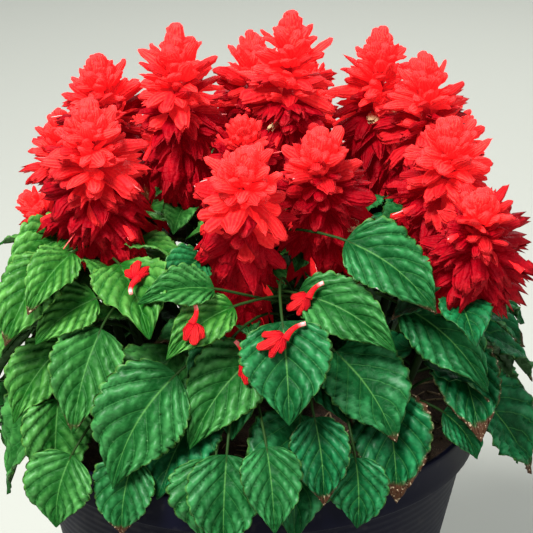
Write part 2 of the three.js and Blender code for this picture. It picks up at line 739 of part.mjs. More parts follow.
// A dropped floret, raised from its leaf until it just clears everything.
function fallenFloret([, part, turn, size], leaf, obstacles) {
  const { point, direction, side, normal } = leafStation(leaf, part);
  const along = direction.clone().applyAxisAngle(normal, radians(turn));
  const across = side.clone().applyAxisAngle(normal, radians(turn));
  const scale = size / FLORET_LENGTH;
  for (let rise = LEAF_THICKNESS / 2; ; rise += GAP) {
    const start = point.clone().addScaledVector(normal, rise).addScaledVector(along, -size / 2);
    const points = [];
    for (const [place, width, depth] of FALLEN_SECTIONS) {
      for (const [i, j] of [[1, 0], [0, 1], [-1, 0]]) {
        points.push(start.clone().addScaledVector(along, place * size)
          .addScaledVector(across, 0.5 * i * width * scale).addScaledVector(normal, j * depth * scale));
      }
    }
    const body = solid(points, ringTriangles(FALLEN_SECTIONS.length, 3));
    if (!meets(body, obstacles)) return body;
    body.delete();
  }
}

// A wish for a leaf whose base lies at an azimuth, height and reach.
function leafWish(azimuth, height, reach, swing, pitch, length, width, mark) {
  return {
    base: outward(azimuth).multiplyScalar(reach).setZ(height),
    slideWay: outward(azimuth),
    heading: azimuth + swing,
    pitch,
    length,
    width,
    roll: FACE_ROLL * Math.sin(radians(swing)) + 8 * jitter(mark, 300),
    phase: scatter(mark, 310),
    teeth: Math.min(5, Math.max(3, Math.round(length / TOOTH_PITCH))),
  };
}

function frontWishes() {
  return FRONT_LEAVES.map((row, i) => {
    const wish = leafWish(...row, i);
    const roll = FACE_ROLL * Math.sin(radians(wish.heading)) + 8 * jitter(i, 300);
    return { ...wish, roll, slideWay: outward(0) };
  });
}

function pairWishes(stems) {
  return stems.flatMap((stem, i) => {
    const along = 180 * scatter(i, 400);
    return [0, 180].map((turn, j) => {
      const heading = along + turn;
      const start = stemPoint(stem, stem.foot.z - PAIR_DROP);
      const mark = PAIR_MARK + 2 * i + j;
      const wish = leafWish(heading, 0, 0, 0, PAIR_PITCH, PAIR_LENGTH, PAIR_WIDTH, mark);
      wish.base = start.addScaledVector(outward(heading), PAIR_REACH).addScaledVector(UP, PAIR_RISE);
      return wish;
    });
  });
}

function tierWishes() {
  const wishes = [];
  for (let tier = -1; tier < TIERS; tier++) {
    const count = tier < 0 ? INNER_LEAVES : TIER_LEAVES;
    for (let i = 0; i < count; i++) {
      const mark = TIER_MARK + (tier + 1) * TIER_LEAVES + i;
      const azimuth = (360 * (i + 0.5 * (tier & 1) + 0.15 * jitter(mark, 0))) / count;
      const isFront = Math.cos(radians(azimuth)) > FRONT_COSINE;
      if (isFront && !TIERS_BEHIND_FRONT.includes(tier)) continue;
      const part = tier / (TIERS - 1);
      const crown = CROWN_HEIGHT + CROWN_RISE * Math.cos(radians(azimuth));
      const height = THREE.MathUtils.lerp(crown, RIM_HEIGHT, Math.max(part, 0)) + 4 * jitter(mark, 1);
      const widening = (RIM_REACH - CROWN_REACH) * Math.sin(0.5 * Math.PI * part);
      const reach = CROWN_REACH + widening - (isFront ? FRONT_TUCK : 0);
      const pitch = THREE.MathUtils.lerp(TOP_TIER_PITCH, LOW_TIER_PITCH, part) + 6 * jitter(mark, 2);
      const size = 1 + 0.12 * jitter(mark, 3);
      const [length, width] = [size * TIER_LENGTH, size * TIER_WIDTH];
      wishes.push(leafWish(azimuth, height, reach, SWING * jitter(mark, 4), pitch, length, width, mark));
    }
  }
  return wishes;
}

// ---------------------------------------------------------------- the whole plant
const materials = {
  pot: new THREE.MeshStandardMaterial({ color: 0x1b1b26, roughness: 0.45, metalness: 0 }),
  soil: new THREE.MeshStandardMaterial({ color: 0x3a281b, roughness: 1, metalness: 0 }),
  foliage: new THREE.MeshStandardMaterial({ color: 0x2f7d38, roughness: 0.55, metalness: 0 }),
  flowers: new THREE.MeshStandardMaterial({ color: 0xd9161d, roughness: 0.6, metalness: 0 }),
};

function makePlant() {
  const stems = SPIKES.map((spike) => ({ ...planStem(spike), leaves: [] }));
  const pot = makePot();
  const soil = makeSoil(stems);
  const spikes = stems.map(spikeBody);
  const obstacles = [];
  addObstacle(obstacles, pot, 'pot');
  addObstacle(obstacles, soil, 'soil');
  spikes.forEach((body, i) => addObstacle(obstacles, body, `spike ${i}`));
  const trunks = stems.map(stemBody);
  trunks.forEach((body, i) => addObstacle(obstacles, body, i));
  const wishes = [...frontWishes(), ...pairWishes(stems), ...tierWishes()];
  const leaves = wishes.map((wish) => placeLeaf(wish, stems, obstacles));
  const fallen = FALLEN.map((row) => {
    const body = fallenFloret(row, leaves[row[0]], obstacles);
    addObstacle(obstacles, body, 'fallen');
    return body;
  });

  const plant = new THREE.Group();
  plant.add(meshOf('pot', pot, materials.pot), meshOf('soil', soil, materials.soil));
  stems.forEach((stem, i) => {
    const number = String(i + 1).padStart(2, '0');
    const leafyStem = wasm.Manifold.union([trunks[i], ...stem.leaves]).simplify(SHORTEST_EDGE);
    plant.add(meshOf(`leafy_stem_${number}`, leafyStem, materials.foliage));
    plant.add(meshOf(`flower_spike_${number}`, spikes[i], materials.flowers));
  });
  fallen.forEach((body, i) => plant.add(meshOf(`fallen_floret_${i + 1}`, body, materials.flowers)));
  return plant;
}

export default makePlant();
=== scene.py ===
import math
from collections import namedtuple

import bpy
import numpy as np
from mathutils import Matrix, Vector, kdtree


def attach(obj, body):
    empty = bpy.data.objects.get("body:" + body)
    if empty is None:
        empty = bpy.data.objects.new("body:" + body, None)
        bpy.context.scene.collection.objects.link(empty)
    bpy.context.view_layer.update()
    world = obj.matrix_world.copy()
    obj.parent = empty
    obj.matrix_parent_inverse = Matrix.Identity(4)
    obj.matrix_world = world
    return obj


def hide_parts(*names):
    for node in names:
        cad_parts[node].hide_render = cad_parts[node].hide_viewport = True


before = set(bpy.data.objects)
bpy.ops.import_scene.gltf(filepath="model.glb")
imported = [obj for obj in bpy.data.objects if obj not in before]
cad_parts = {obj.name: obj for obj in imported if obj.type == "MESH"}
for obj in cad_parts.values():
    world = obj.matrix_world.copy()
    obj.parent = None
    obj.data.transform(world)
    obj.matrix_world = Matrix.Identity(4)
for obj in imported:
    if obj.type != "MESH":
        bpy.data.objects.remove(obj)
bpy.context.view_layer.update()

# A scarlet salvia in its pot. Lengths are in millimetres up to the moment a mesh is made, +Z is up
# and the front of the plant faces -Y. Azimuths are in degrees round the pot, 0 at the front.

# ---------------------------------------------------------------- sizes shared with the solids
MM = 0.001
SEED = 11
GAP = 0.3  # play between neighbouring solids

POT_HEIGHT = 215
POT_BASE_RADIUS = 93
POT_RIM_RADIUS = 140  # outside of the rim band
POT_WALL = 3
POT_FLOOR = 4
RIM_BAND = 22  # height of the band
RIM_STEP = 5  # how far the band stands out of the wall
DRAIN_HOLES = 6
DRAIN_RADIUS = 5
DRAIN_CIRCLE = 62  # radius of the ring of drain holes
SOIL_LEVEL = 208  # at the wall
SOIL_DOME = 8  # how much higher the middle is
HOLE_DEPTH = 30  # of a stem in the soil

STEM_HALF_SIDE = 3.2  # a salvia's stem is square
STEM_TAPER = 0.72  # its size at the top against the bottom
STEM_GATHER = 0.68  # how far out a stem stands in the soil against its flower spike
STEM_LEAN = 1.5  # power of the height by which it leans out

LEAF_DROOP = 46  # degrees that a blade bends down from base to tip
LEAF_WIDEST = 0.62  # power that sets the widest place a third of the way along
LEAF_FULLNESS = 0.85  # power that rounds the outline
LEAF_FOLD = 0.16  # rise of the margin against its distance from the midrib
LEAF_WAVE = 0.05  # rise and fall of the margin against the length
LEAF_WAVES = 1.5  # from base to tip
FACE_ROLL = 50  # most degrees that a blade rolls to turn its face outwards
ROLL_JITTER = 8
PETIOLE_RADIUS = 1.5
PETIOLE_FALL = 0.45  # drop from the blade to the stem against the way between them
PETIOLE_BEND = 0.6  # how far behind the blade its bend lies against that way
LOWEST_JOINT = 8  # above the soil
HIGHEST_JOINT = 6  # below the flower spike
SLIDE_SLOPE = 22  # degrees down the line of sight, along which a front leaf may slide

FLORET_LENGTH = 28  # of the lowest florets
FLORET_WIDTH = 15
FLORET_SHARE = 0.8  # its width at most, against its share of the round
FLORET_DEPTH = 5
FLORET_WAIST = 0.68  # where a floret is widest along its length
FLORET_DROOP = 22
FLORET_JITTER = 0.05
FLORET_FIRST = 0.4  # size of the florets next to the bud against the lowest
FLORET_GROWTH = 0.15  # more than that in each next whorl
FLORET_LEAST = 0.4  # part of its size that a floret keeps to stay on its own side
FLORET_SHRINK = 0.88  # in each step down to that
WHORL_FLORETS = 5
WHORL_STEP = 5.5  # at a spike's tip; each next one is 1 mm longer, up to the most
WHORL_STEP_MOST = 11.5
TOP_PITCH = 72  # of the florets next to the bud, against the spoke
PITCH_STEP = 19
LOW_PITCH = -42
CORE_RADIUS = 6.5  # of the flowering stem with its bracts, at the foot
CORE_TOP_RADIUS = 2

# Tiers of leaves from the crown, high and near the middle, down to the pot's rim.
TIERS = 5
TIER_LEAVES = 13
INNER_LEAVES = 9
TIER_LENGTH = 72
TIER_WIDTH = 54
CROWN_HEIGHT = 318
CROWN_RISE = 20
CROWN_REACH = 92
RIM_REACH = 143
RIM_HEIGHT = 226
FRONT_TUCK = 36
FRONT_COSINE = 0.45
TIERS_BEHIND_FRONT = (-1, 2, 3)
TOP_TIER_PITCH = -24
LOW_TIER_PITCH = -68
SWING = 22
# The pair of leaves on each stem.
PAIR_DROP = 14
PAIR_REACH = 16
PAIR_RISE = 6
PAIR_PITCH = -8
PAIR_LENGTH = 44
PAIR_WIDTH = 28
# Numbers from which the leaves in pairs and in tiers are counted.
PAIR_MARK = 100
TIER_MARK = 200

# Flower spikes: foot x, y, z, tip x, y, z and the length of the florets against the usual one.
SPIKES = (
    (-88, -45, 346, -90, -62, 420, 1.0),
    (-80, 30, 350, -92, 28, 421, 1.0),
    (-106, -8, 326, -134, -12, 350, 0.75),
    (-42, 10, 360, -44, 10, 442, 1.0),
    (20, 15, 360, 24, 25, 448, 1.0),
    (-2, 60, 350, 2, 65, 424, 0.95),
    (-1, -10, 350, -5, -25, 402, 0.8),
    (-8, -50, 300, -1, -100, 407, 1.0),
    (40, -35, 333, 40, -62, 404, 1.0),
    (80, 62, 340, 80, 66, 427, 0.95),
    (108, 22, 346, 105, 24, 423, 0.95),
    (114, -28, 326, 115, -48, 407, 1.0),
    (126, -74, 325, 128, -100, 382, 0.95),
    (-72, 78, 304, -74, 84, 368, 0.9),
    (-30, 105, 304, -32, 114, 366, 0.9),
    (35, 105, 318, 36, 114, 396, 0.95),
    (75, 108, 306, 78, 118, 382, 0.9),
    (120, 72, 306, 126, 78, 380, 0.95),
    (-112, 60, 308, -120, 66, 376, 0.9),
)

# Front leaves: azimuth, height, reach, swing, pitch, length and width.
FRONT_LEAVES = (
    (9, 316, 118, -2, -58, 60, 48),
    (38, 264, 125, -22, -66, 66, 44),
    (-20, 282, 120, -46, -58, 78, 51),
    (3, 293, 108, -62, -47, 69, 41),
    (-8, 240, 136, -4, -72, 52, 46),
    (49, 309, 115, 32, -41, 74, 39),
    (40, 344, 85, 23, -31, 68, 39),
    (17, 322, 95, 43, -29, 69, 33),
    (-42, 336, 110, 61, -19, 66, 40),
    (67, 272, 130, -48, -43, 64, 39),
    (-5, 246, 142, -2, -74, 58, 40),
    (16, 262, 132, 3, -71, 52, 32),
    (-44, 299, 122, 19, -55, 64, 39),
    (-58, 334, 132, 17, -45, 59, 35),
    (-54, 285, 132, -8, -52, 57, 33),
    (-51, 255, 142, 31, -67, 54, 40),
    (-44, 228, 147, -6, -74, 46, 40),
    (-12, 325, 92, -40, -10, 48, 23),
    (-5, 318, 100, -48, -33, 52, 26),
    (-20, 337, 78, -18, -22, 36, 25),
    (-67, 342, 108, 32, -17, 62, 32),
    (85, 306, 108, -8, -24, 52, 28),
    (55, 242, 138, 30, -55, 38, 24),
    (-58, 336, 120, 26, -29, 50, 26),
    (-49, 313, 116, -10, -36, 46, 28),
    (24, 240, 146, 4, -74, 44, 34),
    (4, 250, 140, 8, -72, 50, 33),
    (-27, 236, 146, 6, -74, 46, 37),
    (41, 288, 98, -25, -47, 44, 28),
    (9, 313, 86, 72, 6, 36, 22),
    (-7, 293, 90, -44, -45, 44, 30),
    (19, 281, 102, 15, -42, 42, 28),
    (-22, 330, 70, 20, 5, 44, 26),
)

# ---------------------------------------------------------------- small helpers
UP = np.array([0.0, 0.0, 1.0])


def scatter(i, j):
    """A number from 0 to 1 that looks random but is the same on every run."""
    wave = math.sin(i * 12.9898 + j * 78.233 + SEED) * 43758.5453
    return wave - math.floor(wave)


def jitter(i, j):
    """A number from -1 to 1."""
    return 2 * scatter(i, j) - 1


def unit(vectors):
    """Vectors along the last axis, made one long."""
    return vectors / np.maximum(np.linalg.norm(vectors, axis=-1, keepdims=True), 1e-9)


def outward(azimuth):
    """The level direction at an azimuth."""
    angle = math.radians(azimuth)
    return np.array([math.sin(angle), -math.cos(angle), 0.0])


def lerp(a, b, part):
    """From a at part 0 to b at part 1."""
    return a + (b - a) * part


def smooth(low, high, value):
    """0 below low, 1 above high and an even S between them."""
    part = np.clip((value - low) / (high - low), 0, 1)
    return part * part * (3 - 2 * part)


def rough(places, cell, seed):
    """Lumps from -1 to 1: random heights on the corners of square cells, with smooth slopes
    between them; the same heights come back after 64 cells."""
    table = np.random.default_rng(seed).uniform(-1, 1, (64, 64))
    grid = places[..., :2] / cell + 200.0
    corner = np.floor(grid).astype(int)
    part = grid - corner
    part = part * part * (3 - 2 * part)
    x, y = corner[..., 0] % 64, corner[..., 1] % 64
    x1, y1 = (x + 1) % 64, (y + 1) % 64
    low = lerp(table[x, y], table[x1, y], part[..., 0])
    high = lerp(table[x, y1], table[x1, y1], part[..., 0])
    return lerp(low, high, part[..., 1])


# What the materials read at each point: along, from 0 at a surface's root to 1 at its tip; across,
# from -1 to 1 over a blade, and 1 on a floret's ridges; tone, from dark to light, partly each
# part's own colour and partly painted light and shade; dry, how withered; stalk, near 1 on stems,
# petioles and pale threads; inside, 1 in a mouth, which is darkened with painted shade, and under a
# blade; relief, the height of a blade's quilting, which also sets painted shade and highlight on it.
MARKS = ("along", "across", "tone", "dry", "stalk", "inside", "relief")


class Piece:
    """Collects surfaces, each a set of points with faces between them, into one mesh."""

    def __init__(self):
        self.points, self.quads, self.triangles, self.count = [], [], [], 0
        self.marks = {mark: [] for mark in MARKS}

    def add(self, points, quads=None, triangles=None, **marks):
        """Adds points with their faces and marks; a mark is a number or has one for each point."""
        points = np.asarray(points, float).reshape(-1, 3)
        if quads is not None and len(quads):
            self.quads.append(np.asarray(quads).reshape(-1, 4) + self.count)
        if triangles is not None and len(triangles):
            self.triangles.append(np.asarray(triangles).reshape(-1, 3) + self.count)
        for mark in MARKS:
            value = np.asarray(marks.get(mark, 0.0), float)
            each = value.reshape(-1) if value.size == len(points) else np.full(len(points), value)
            self.marks[mark].append(each)
        self.points.append(points)
        self.count += len(points)

    def finish(self, name, material, slot, *nodes):
        """Makes the object, which rides on the root and stands for the nodes."""
        quads = np.concatenate(self.quads) if self.quads else np.zeros((0, 4), int)
        triangles = np.concatenate(self.triangles) if self.triangles else np.zeros((0, 3), int)
        corners = np.concatenate([quads.ravel(), triangles.ravel()])
        starts = np.concatenate([
            np.arange(len(quads)) * 4,
            len(quads) * 4 + np.arange(len(triangles)) * 3,
        ])
        mesh = bpy.data.meshes.new(name)
        mesh.vertices.add(self.count)
        mesh.vertices.foreach_set("co", (np.concatenate(self.points) * MM).ravel())
        mesh.loops.add(len(corners))
        mesh.loops.foreach_set("vertex_index", corners)
        mesh.polygons.add(len(starts))
        mesh.polygons.foreach_set("loop_start", starts)
        mesh.polygons.foreach_set("use_smooth", np.ones(len(starts), bool))
        for mark in MARKS:
            values = np.concatenate(self.marks[mark])
            if np.any(values):
                mesh.attributes.new(mark, "FLOAT", "POINT").data.foreach_set("value", values)
        mesh.update(calc_edges=True)
        mesh.validate()
        mesh.materials.append(material)
        piece = bpy.data.objects.new(name, mesh)
        bpy.context.scene.collection.objects.link(piece)
        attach(piece, "root")
        if nodes:
            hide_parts(*nodes)
        return piece


def lattice(rows, columns, around=True):
    """Quads between rows of points; around joins the last column to the first. The faces look
    outwards when each row is anticlockwise as seen from the last row."""
    index = np.arange(rows * columns).reshape(rows, columns)
    right = np.roll(index, -1, axis=1)
    if not around:
        index, right = index[:, :-1], right[:, :-1]
    return np.stack([index[:-1], right[:-1], right[1:], index[1:]], axis=-1).reshape(-1, 4)


def sweep(path, side, up, reach, ends):
    """Many closed tubes at once. Round each path point stands a ring of points at
    path + reach * (side * cos(angle) + up * sin(angle)), rings are joined by quads, and the two end
    points close the tube with a fan. All arrays start with the tube, the ring and the place round it."""
    count, rows, sides = reach.shape
    angle = 2 * np.pi * np.arange(sides) / sides
    points = path + side * (reach * np.cos(angle))[..., None] + up * (reach * np.sin(angle))[..., None]
    points = np.concatenate([points.reshape(count, -1, 3), ends], axis=1)
    each = rows * sides + 2
    shift = np.arange(count)[:, None, None] * each
    around = np.arange(sides)
    following = (around + 1) % sides
    last = (rows - 1) * sides
    fans = np.concatenate([
        np.stack([np.full(sides, each - 2), following, around], axis=-1),
        np.stack([np.full(sides, each - 1), last + around, last + following], axis=-1),
    ])
    return points.reshape(-1, 3), lattice(rows, sides) + shift, fans + shift


def spread(values, sides, first, last):
    """Values by tube and ring, given to all points of a sweep, with those of its two end points."""
    ends = np.zeros((len(values), 2)) + np.stack(np.broadcast_arrays(first, last), axis=-1)
    return np.concatenate([np.repeat(values, sides, axis=1), ends], axis=1)


def tube(path, radii, sides, reference=UP, flute=0.0):
    """One round profile carried along a path; a flute makes it square for a negative value."""
    tangent = unit(np.gradient(path, axis=0))
    side = unit(np.cross(reference, tangent))
    up = np.cross(tangent, side)
    angle = 2 * np.pi * np.arange(sides) / sides
    reach = np.asarray(radii, float)[:, None] * (1 + flute * np.cos(4 * angle))
    points, quads, fans = sweep(path[None, :, None], side[None, :, None], up[None, :, None],
                                reach[None], path[None, [0, -1]])
    return points, quads, fans, spread(np.linspace(0, 1, len(path))[None], sides, 0, 1)


def threads(start, way, lift, length, radius, flare=1.0, sides=5, rows=5):
    """Many slim tubes at once, for petal tubes, styles and straw: part a along one lies at
    start + length * (a * way + a^2 * lift), and its radius grows to flare times as much."""
    part = np.linspace(0, 1, rows)[None, :, None]
    path = start[:, None] + length[:, None, None] * (part * way[:, None] + part ** 2 * lift[:, None])
    tangent = unit(np.gradient(path, axis=1))
    side = unit(np.cross(UP + 0.013, tangent))
    up = np.cross(tangent, side)
    reach = radius[:, None, None] * lerp(1, flare, part[..., 0:1] ** 2) * np.ones(sides)
    points, quads, fans = sweep(path[:, :, None], side[:, :, None], up[:, :, None], reach,
                                path[:, [0, -1]])
    along = spread(np.tile(part[..., 0], (len(start), 1)), sides, 0, 1)
    return points, quads, fans, along


def lathe(profile, sides):
    """A closed profile of radius and height turned once round the Z axis; it runs anticlockwise in
    the half plane with the radius to the right, and closes on itself."""
    profile = np.asarray(profile, float)
    angle = 2 * np.pi * np.arange(sides) / sides
    points = np.stack([
        profile[:, :1] * np.cos(angle),
        profile[:, :1] * np.sin(angle),
        np.repeat(profile[:, 1:], sides, axis=1),
    ], axis=-1)
    index = np.arange(len(profile) * sides).reshape(len(profile), sides)
    below = np.roll(index, -1, axis=0)
    right = np.roll(index, -1, axis=1)
    quads = np.stack([index, right, np.roll(below, -1, axis=1), below], axis=-1)
    return points, quads.reshape(-1, 4)


# ---------------------------------------------------------------- where stems and leaves are
def wall_radius(height):
    """Outside radius of the pot's wall, which widens evenly up to the rim band."""
    slope = (POT_RIM_RADIUS - RIM_STEP - POT_BASE_RADIUS) / (POT_HEIGHT - RIM_BAND)
    return POT_BASE_RADIUS + slope * height


def soil_height(reach):
    """Height of the soil's smooth dome, which falls by the square of the way out to the wall."""
    return SOIL_LEVEL + SOIL_DOME * (1 - (reach / wall_radius(SOIL_LEVEL)) ** 2)


def plan_stem(row):
    """A stem from its row of SPIKES: foot, tip and axis of the flower spike, the root under the
    soil, nearer to the middle than the foot, and the height of the ground there."""
    foot, tip = np.array(row[:3], float), np.array(row[3:6], float)
    root = foot * STEM_GATHER * np.array([1, 1, 0])
    ground = soil_height(math.hypot(root[0], root[1]))
    return {"foot": foot, "tip": tip, "root": root, "ground": ground,
            "axis": unit(tip - foot), "florets": row[6]}


def stem_point(stem, height):
    """Points of a stem's axis: it leans out by the STEM_LEAN power of the height."""
    height = np.asarray(height, float)
    part = np.clip((height - stem["ground"]) / (stem["foot"][2] - stem["ground"]), 0, 1)
    lean = (part ** STEM_LEAN)[..., None]
    level = lerp(stem["root"], stem["foot"], lean)
    return np.concatenate([level[..., :2], height[..., None]], axis=-1)


def leaf_stations(leaf, part):
    """The middle line of a blade, an arc that bends down LEAF_DROOP degrees in all: its points, and
    there the direction, the side and the normal, rolled about the direction."""
    part = np.asarray(part, float)[..., None]
    droop = math.radians(LEAF_DROOP)
    start = math.radians(leaf["pitch"]) + droop / 2
    pitch = start - droop * part
    forward = outward(leaf["heading"])
    run = leaf["length"] / droop * (math.sin(start) - np.sin(pitch))
    rise = leaf["length"] / droop * (np.cos(pitch) - math.cos(start))
    point = leaf["base"] + forward * run + UP * rise
    direction = forward * np.cos(pitch) + UP * np.sin(pitch)
    flat_normal = UP * np.cos(pitch) - forward * np.sin(pitch)
    flat_side = np.cross(flat_normal, direction)
    roll = math.radians(leaf["roll"])
    side = flat_side * math.cos(roll) + flat_normal * math.sin(roll)
    normal = flat_normal * math.cos(roll) - flat_side * math.sin(roll)
    return point, direction, side, normal


def leaf_wish(azimuth, height, reach, swing, pitch, length, width, mark):
    """A leaf as it is first wished for. Its base stands at an azimuth, height and reach, it heads
    that way turned by the swing, and mark is the number that all scattered values come from."""
    return {
        "base": outward(azimuth) * reach + UP * height,
        "slide_way": outward(azimuth),
        "heading": azimuth + swing,
        "pitch": pitch, "length": length, "width": width, "mark": mark,
        "roll": FACE_ROLL * math.sin(math.radians(swing)) + ROLL_JITTER * jitter(mark, 300),
        "phase": scatter(mark, 310),
        "grid": "other",
    }


def front_wishes():
    """The large front leaves, which roll to face the front and slide towards it."""
    wishes = []
    for i, row in enumerate(FRONT_LEAVES):
        wish = leaf_wish(*row, i)
        turn_to_front = FACE_ROLL * math.sin(math.radians(wish["heading"]))
        wish["roll"] = turn_to_front + ROLL_JITTER * jitter(i, 300)
        wish["slide_way"] = outward(0)
        wish["grid"] = "front"
        wishes.append(wish)
    return wishes


def pair_heading(i):
    """Which way the first leaf of a stem's pair heads."""
    return 180 * scatter(i, 400)


def pair_wishes(stems):
    """Two leaves opposite each other on every stem, under its flower spike."""
    wishes = []
    for i, stem in enumerate(stems):
        for j, turn in enumerate((0, 180)):
            heading = pair_heading(i) + turn
            mark = PAIR_MARK + 2 * i + j
            wish = leaf_wish(heading, 0, 0, 0, PAIR_PITCH, PAIR_LENGTH, PAIR_WIDTH, mark)
            start = stem_point(stem, stem["foot"][2] - PAIR_DROP)
            wish["base"] = start + outward(heading) * PAIR_REACH + UP * PAIR_RISE
            wishes.append(wish)
    return wishes


def tier_wishes():
    """Tiers of leaves round the plant, from inside the crown down to the pot's rim, with room left
    for the large front leaves."""
    wishes = []
    for tier in range(-1, TIERS):
        count = INNER_LEAVES if tier < 0 else TIER_LEAVES
        for i in range(count):
            mark = TIER_MARK + (tier + 1) * TIER_LEAVES + i
            azimuth = 360 * (i + 0.5 * (tier & 1) + 0.15 * jitter(mark, 0)) / count
            is_front = math.cos(math.radians(azimuth)) > FRONT_COSINE
            if is_front and tier not in TIERS_BEHIND_FRONT:
                continue
            part = tier / (TIERS - 1)
            crown = CROWN_HEIGHT + CROWN_RISE * math.cos(math.radians(azimuth))
            height = lerp(crown, RIM_HEIGHT, max(part, 0)) + 4 * jitter(mark, 1)
            widening = (RIM_REACH - CROWN_REACH) * math.sin(0.5 * math.pi * part)
            reach = CROWN_REACH + widening - (FRONT_TUCK if is_front else 0)
            pitch = lerp(TOP_TIER_PITCH, LOW_TIER_PITCH, part) + 6 * jitter(mark, 2)
            size = 1 + 0.12 * jitter(mark, 3)
            wishes.append(leaf_wish(azimuth, height, reach, SWING * jitter(mark, 4), pitch,
                                    size * TIER_LENGTH, size * TIER_WIDTH, mark))
    return wishes


def changes():
    """The ways in which the solids shift, turn and shrink a leaf that has no room, nearest first."""
    return [(size, slide, lift, turn) for size in (1, 0.85, 0.7)
            for slide in (0, -5, 5, -10, 10, -16, 16)
            for lift in (0, 9, -9) for turn in (0, 12, -12)]


def changed(wish, size, slide, lift, turn):
    """A wish that is shrunk, slid along its slide way, lifted and turned."""
    slope = math.radians(SLIDE_SLOPE)
    way = wish["slide_way"] * math.cos(slope) + UP * math.sin(slope)
    return {**wish, "base": wish["base"] + way * slide, "heading": wish["heading"] + turn,
            "pitch": wish["pitch"] + lift, "length": wish["length"] * size,
            "width": wish["width"] * size}


def node_points(name):
    """The corners of a solid."""
    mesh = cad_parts[name].data
    points = np.empty(len(mesh.vertices) * 3)
    mesh.vertices.foreach_get("co", points)
    return points.reshape(-1, 3) / MM


def joint_on(stem, base):
    """Where a petiole leaves its stem: lower than the blade's base by PETIOLE_FALL of the way."""
    away = math.hypot(*(base - stem["foot"])[:2])
    height = np.clip(base[2] - PETIOLE_FALL * away, stem["ground"] + LOWEST_JOINT,
                     stem["foot"][2] - HIGHEST_JOINT)
    return stem_point(stem, height)


TIP_MATCH = 0.04  # farthest that a worked-out tip lies from its corner of a solid


def grown_leaves(stems):
    """The leaves as the solids have them: of each wish, the change whose tip is a corner of a leafy
    stem, with the joint on that stem. A wish without one has no leaf."""
    sets = [node_points(f"leafy_stem_{i + 1:02d}") for i in range(len(stems))]
    owners = np.repeat(np.arange(len(sets)), [len(points) for points in sets])
    tree = kdtree.KDTree(len(owners))
    for i, point in enumerate(np.concatenate(sets)):
        tree.insert(point, i)
    tree.balance()
    leaves = []
    for wish in front_wishes() + pair_wishes(stems) + tier_wishes():
        for change in changes():
            leaf = changed(wish, *change)
            tip = leaf_stations(leaf, 1.0)[0]
            _, index, distance = tree.find(tip)
            if distance < TIP_MATCH:
                leaf["owner"] = int(owners[index])
                leaf["joint"] = joint_on(stems[leaf["owner"]], leaf["base"])
                leaves.append(leaf)
                break
    return leaves


# ---------------------------------------------------------------- leaves and stems
VEINS = 5  # side veins on each half of a blade
VEIN_REACH = 1.1  # their count along the midrib, against that
VEIN_SLANT = 0.6  # how far forward a side vein ends, against the length
VEIN_CURVE = 1.05  # power of the way out by which it runs forward
SLANT_LOSS = 0.4  # part of its slant that a side vein has lost at the tip
SPACING = 0.94  # power of the place along that sets veins and teeth a little closer at the base
LOBE = 6.2  # length of leaf for each rounded tooth of a side
LOBE_DEPTH = 0.1  # against the half width
PADS_OUT = 4.2  # pads that each stripe between side veins is divided into
BLADE_THICKNESS = 0.6
BLADE_GRIDS = {"front": (78, 26), "other": (38, 12), "small": (18, 8)}  # rows and columns of faces
BLADE_BREADTH = 1.07  # against the solid blade, whose teeth are cut straight
# Heights on a leaf of the full length; they shrink with it.
FULL_LENGTH = 70
QUILT = 4.4  # of the pads between the veins
QUILT_SINK = 0.35  # part of that by which the quilting lies lower than the plain blade
MIDRIB_GROOVE = 0.9
CURL = 1.8  # drop of the margin
FINE_CRUMPLE = 0.5
COARSE_CRUMPLE = 1.3
# Stations of the midrib along the blade, and its thickness and the petiole's against the solids'.
RIB_STATIONS = np.array([0.03, 0.1, 0.2, 0.34, 0.5, 0.66, 0.8, 0.9])
RIB_SLIMNESS = (0.56, 0.14)
PETIOLE_STATIONS = 9
PETIOLE_SLIMNESS = (0.6, 0.54)
# Front leaves, counted from 0, with withered margins and with a bluer or yellower green than most.
DRY_LEAVES = {1: 0.9, 9: 0.7, 11: 0.6, 12: 0.3}
LEAF_TONES = {18: 1.0, 19: 0.1, 2: 0.35, 3: 0.55, 30: 0.15, 6: 0.2, 7: 0.45, 5: 0.1}
DRY_OTHERS = (0.82, 0.35)  # share of the other leaves that stay fresh, and how dry the rest are


def vein_place(along, across):
    """Counts the side veins: whole numbers lie on a vein, which runs forward as it goes out."""
    back = VEIN_SLANT * across ** VEIN_CURVE * (1 - SLANT_LOSS * along)
    return VEINS * (VEIN_REACH * along ** SPACING - back)


def relief_share(s):
    """The share of its relief that a blade has at part s of its length: none at the base and tip."""
    return smooth(0.0, 0.12, s) * (1 - smooth(0.78, 0.98, s))


def tooth_bulge(leaf, s):
    """From 0 between two teeth of the margin to 1 on a tooth: half ellipses that lean forward, one
    to each LOBE of the length."""
    lobes = round(leaf["length"] / LOBE) + 0.35
    step = (lobes * s ** SPACING + 0.3 * leaf["phase"]) % 1
    return np.sqrt(np.clip(1 - (2 * step ** 1.35 - 1) ** 2, 0, 1))


def quilting(s, edge, place, bulge):
    """Height of a blade's pads, from 0 in the veins to about 1. A pad is high where the count of
    side veins is far from a whole number, and a little lower where the count of pads along its
    stripe is near one. Pads sink beside the midrib and at both ends; each tooth is a small pad."""
    vein = vein_place(s, edge) + 0.16 * rough(place, 11.0, SEED)
    stripe = np.floor(vein)
    arch = np.abs(np.sin(np.pi * vein)) ** 0.7
    across = (PADS_OUT * edge ** 0.85 + 0.37 * stripe + 0.3 * rough(place, 8.0, SEED + 6)) % 1
    puff = (4 * across * (1 - across)) ** 0.6
    beside = 1 - np.exp(-(edge * 5) ** 1.5)
    pads = arch * (0.42 + 0.58 * puff) * beside * relief_share(s) * (0.65 + 0.35 * edge)
    return pads + 0.32 * bulge * edge ** 5 * (1 - s) ** 0.3


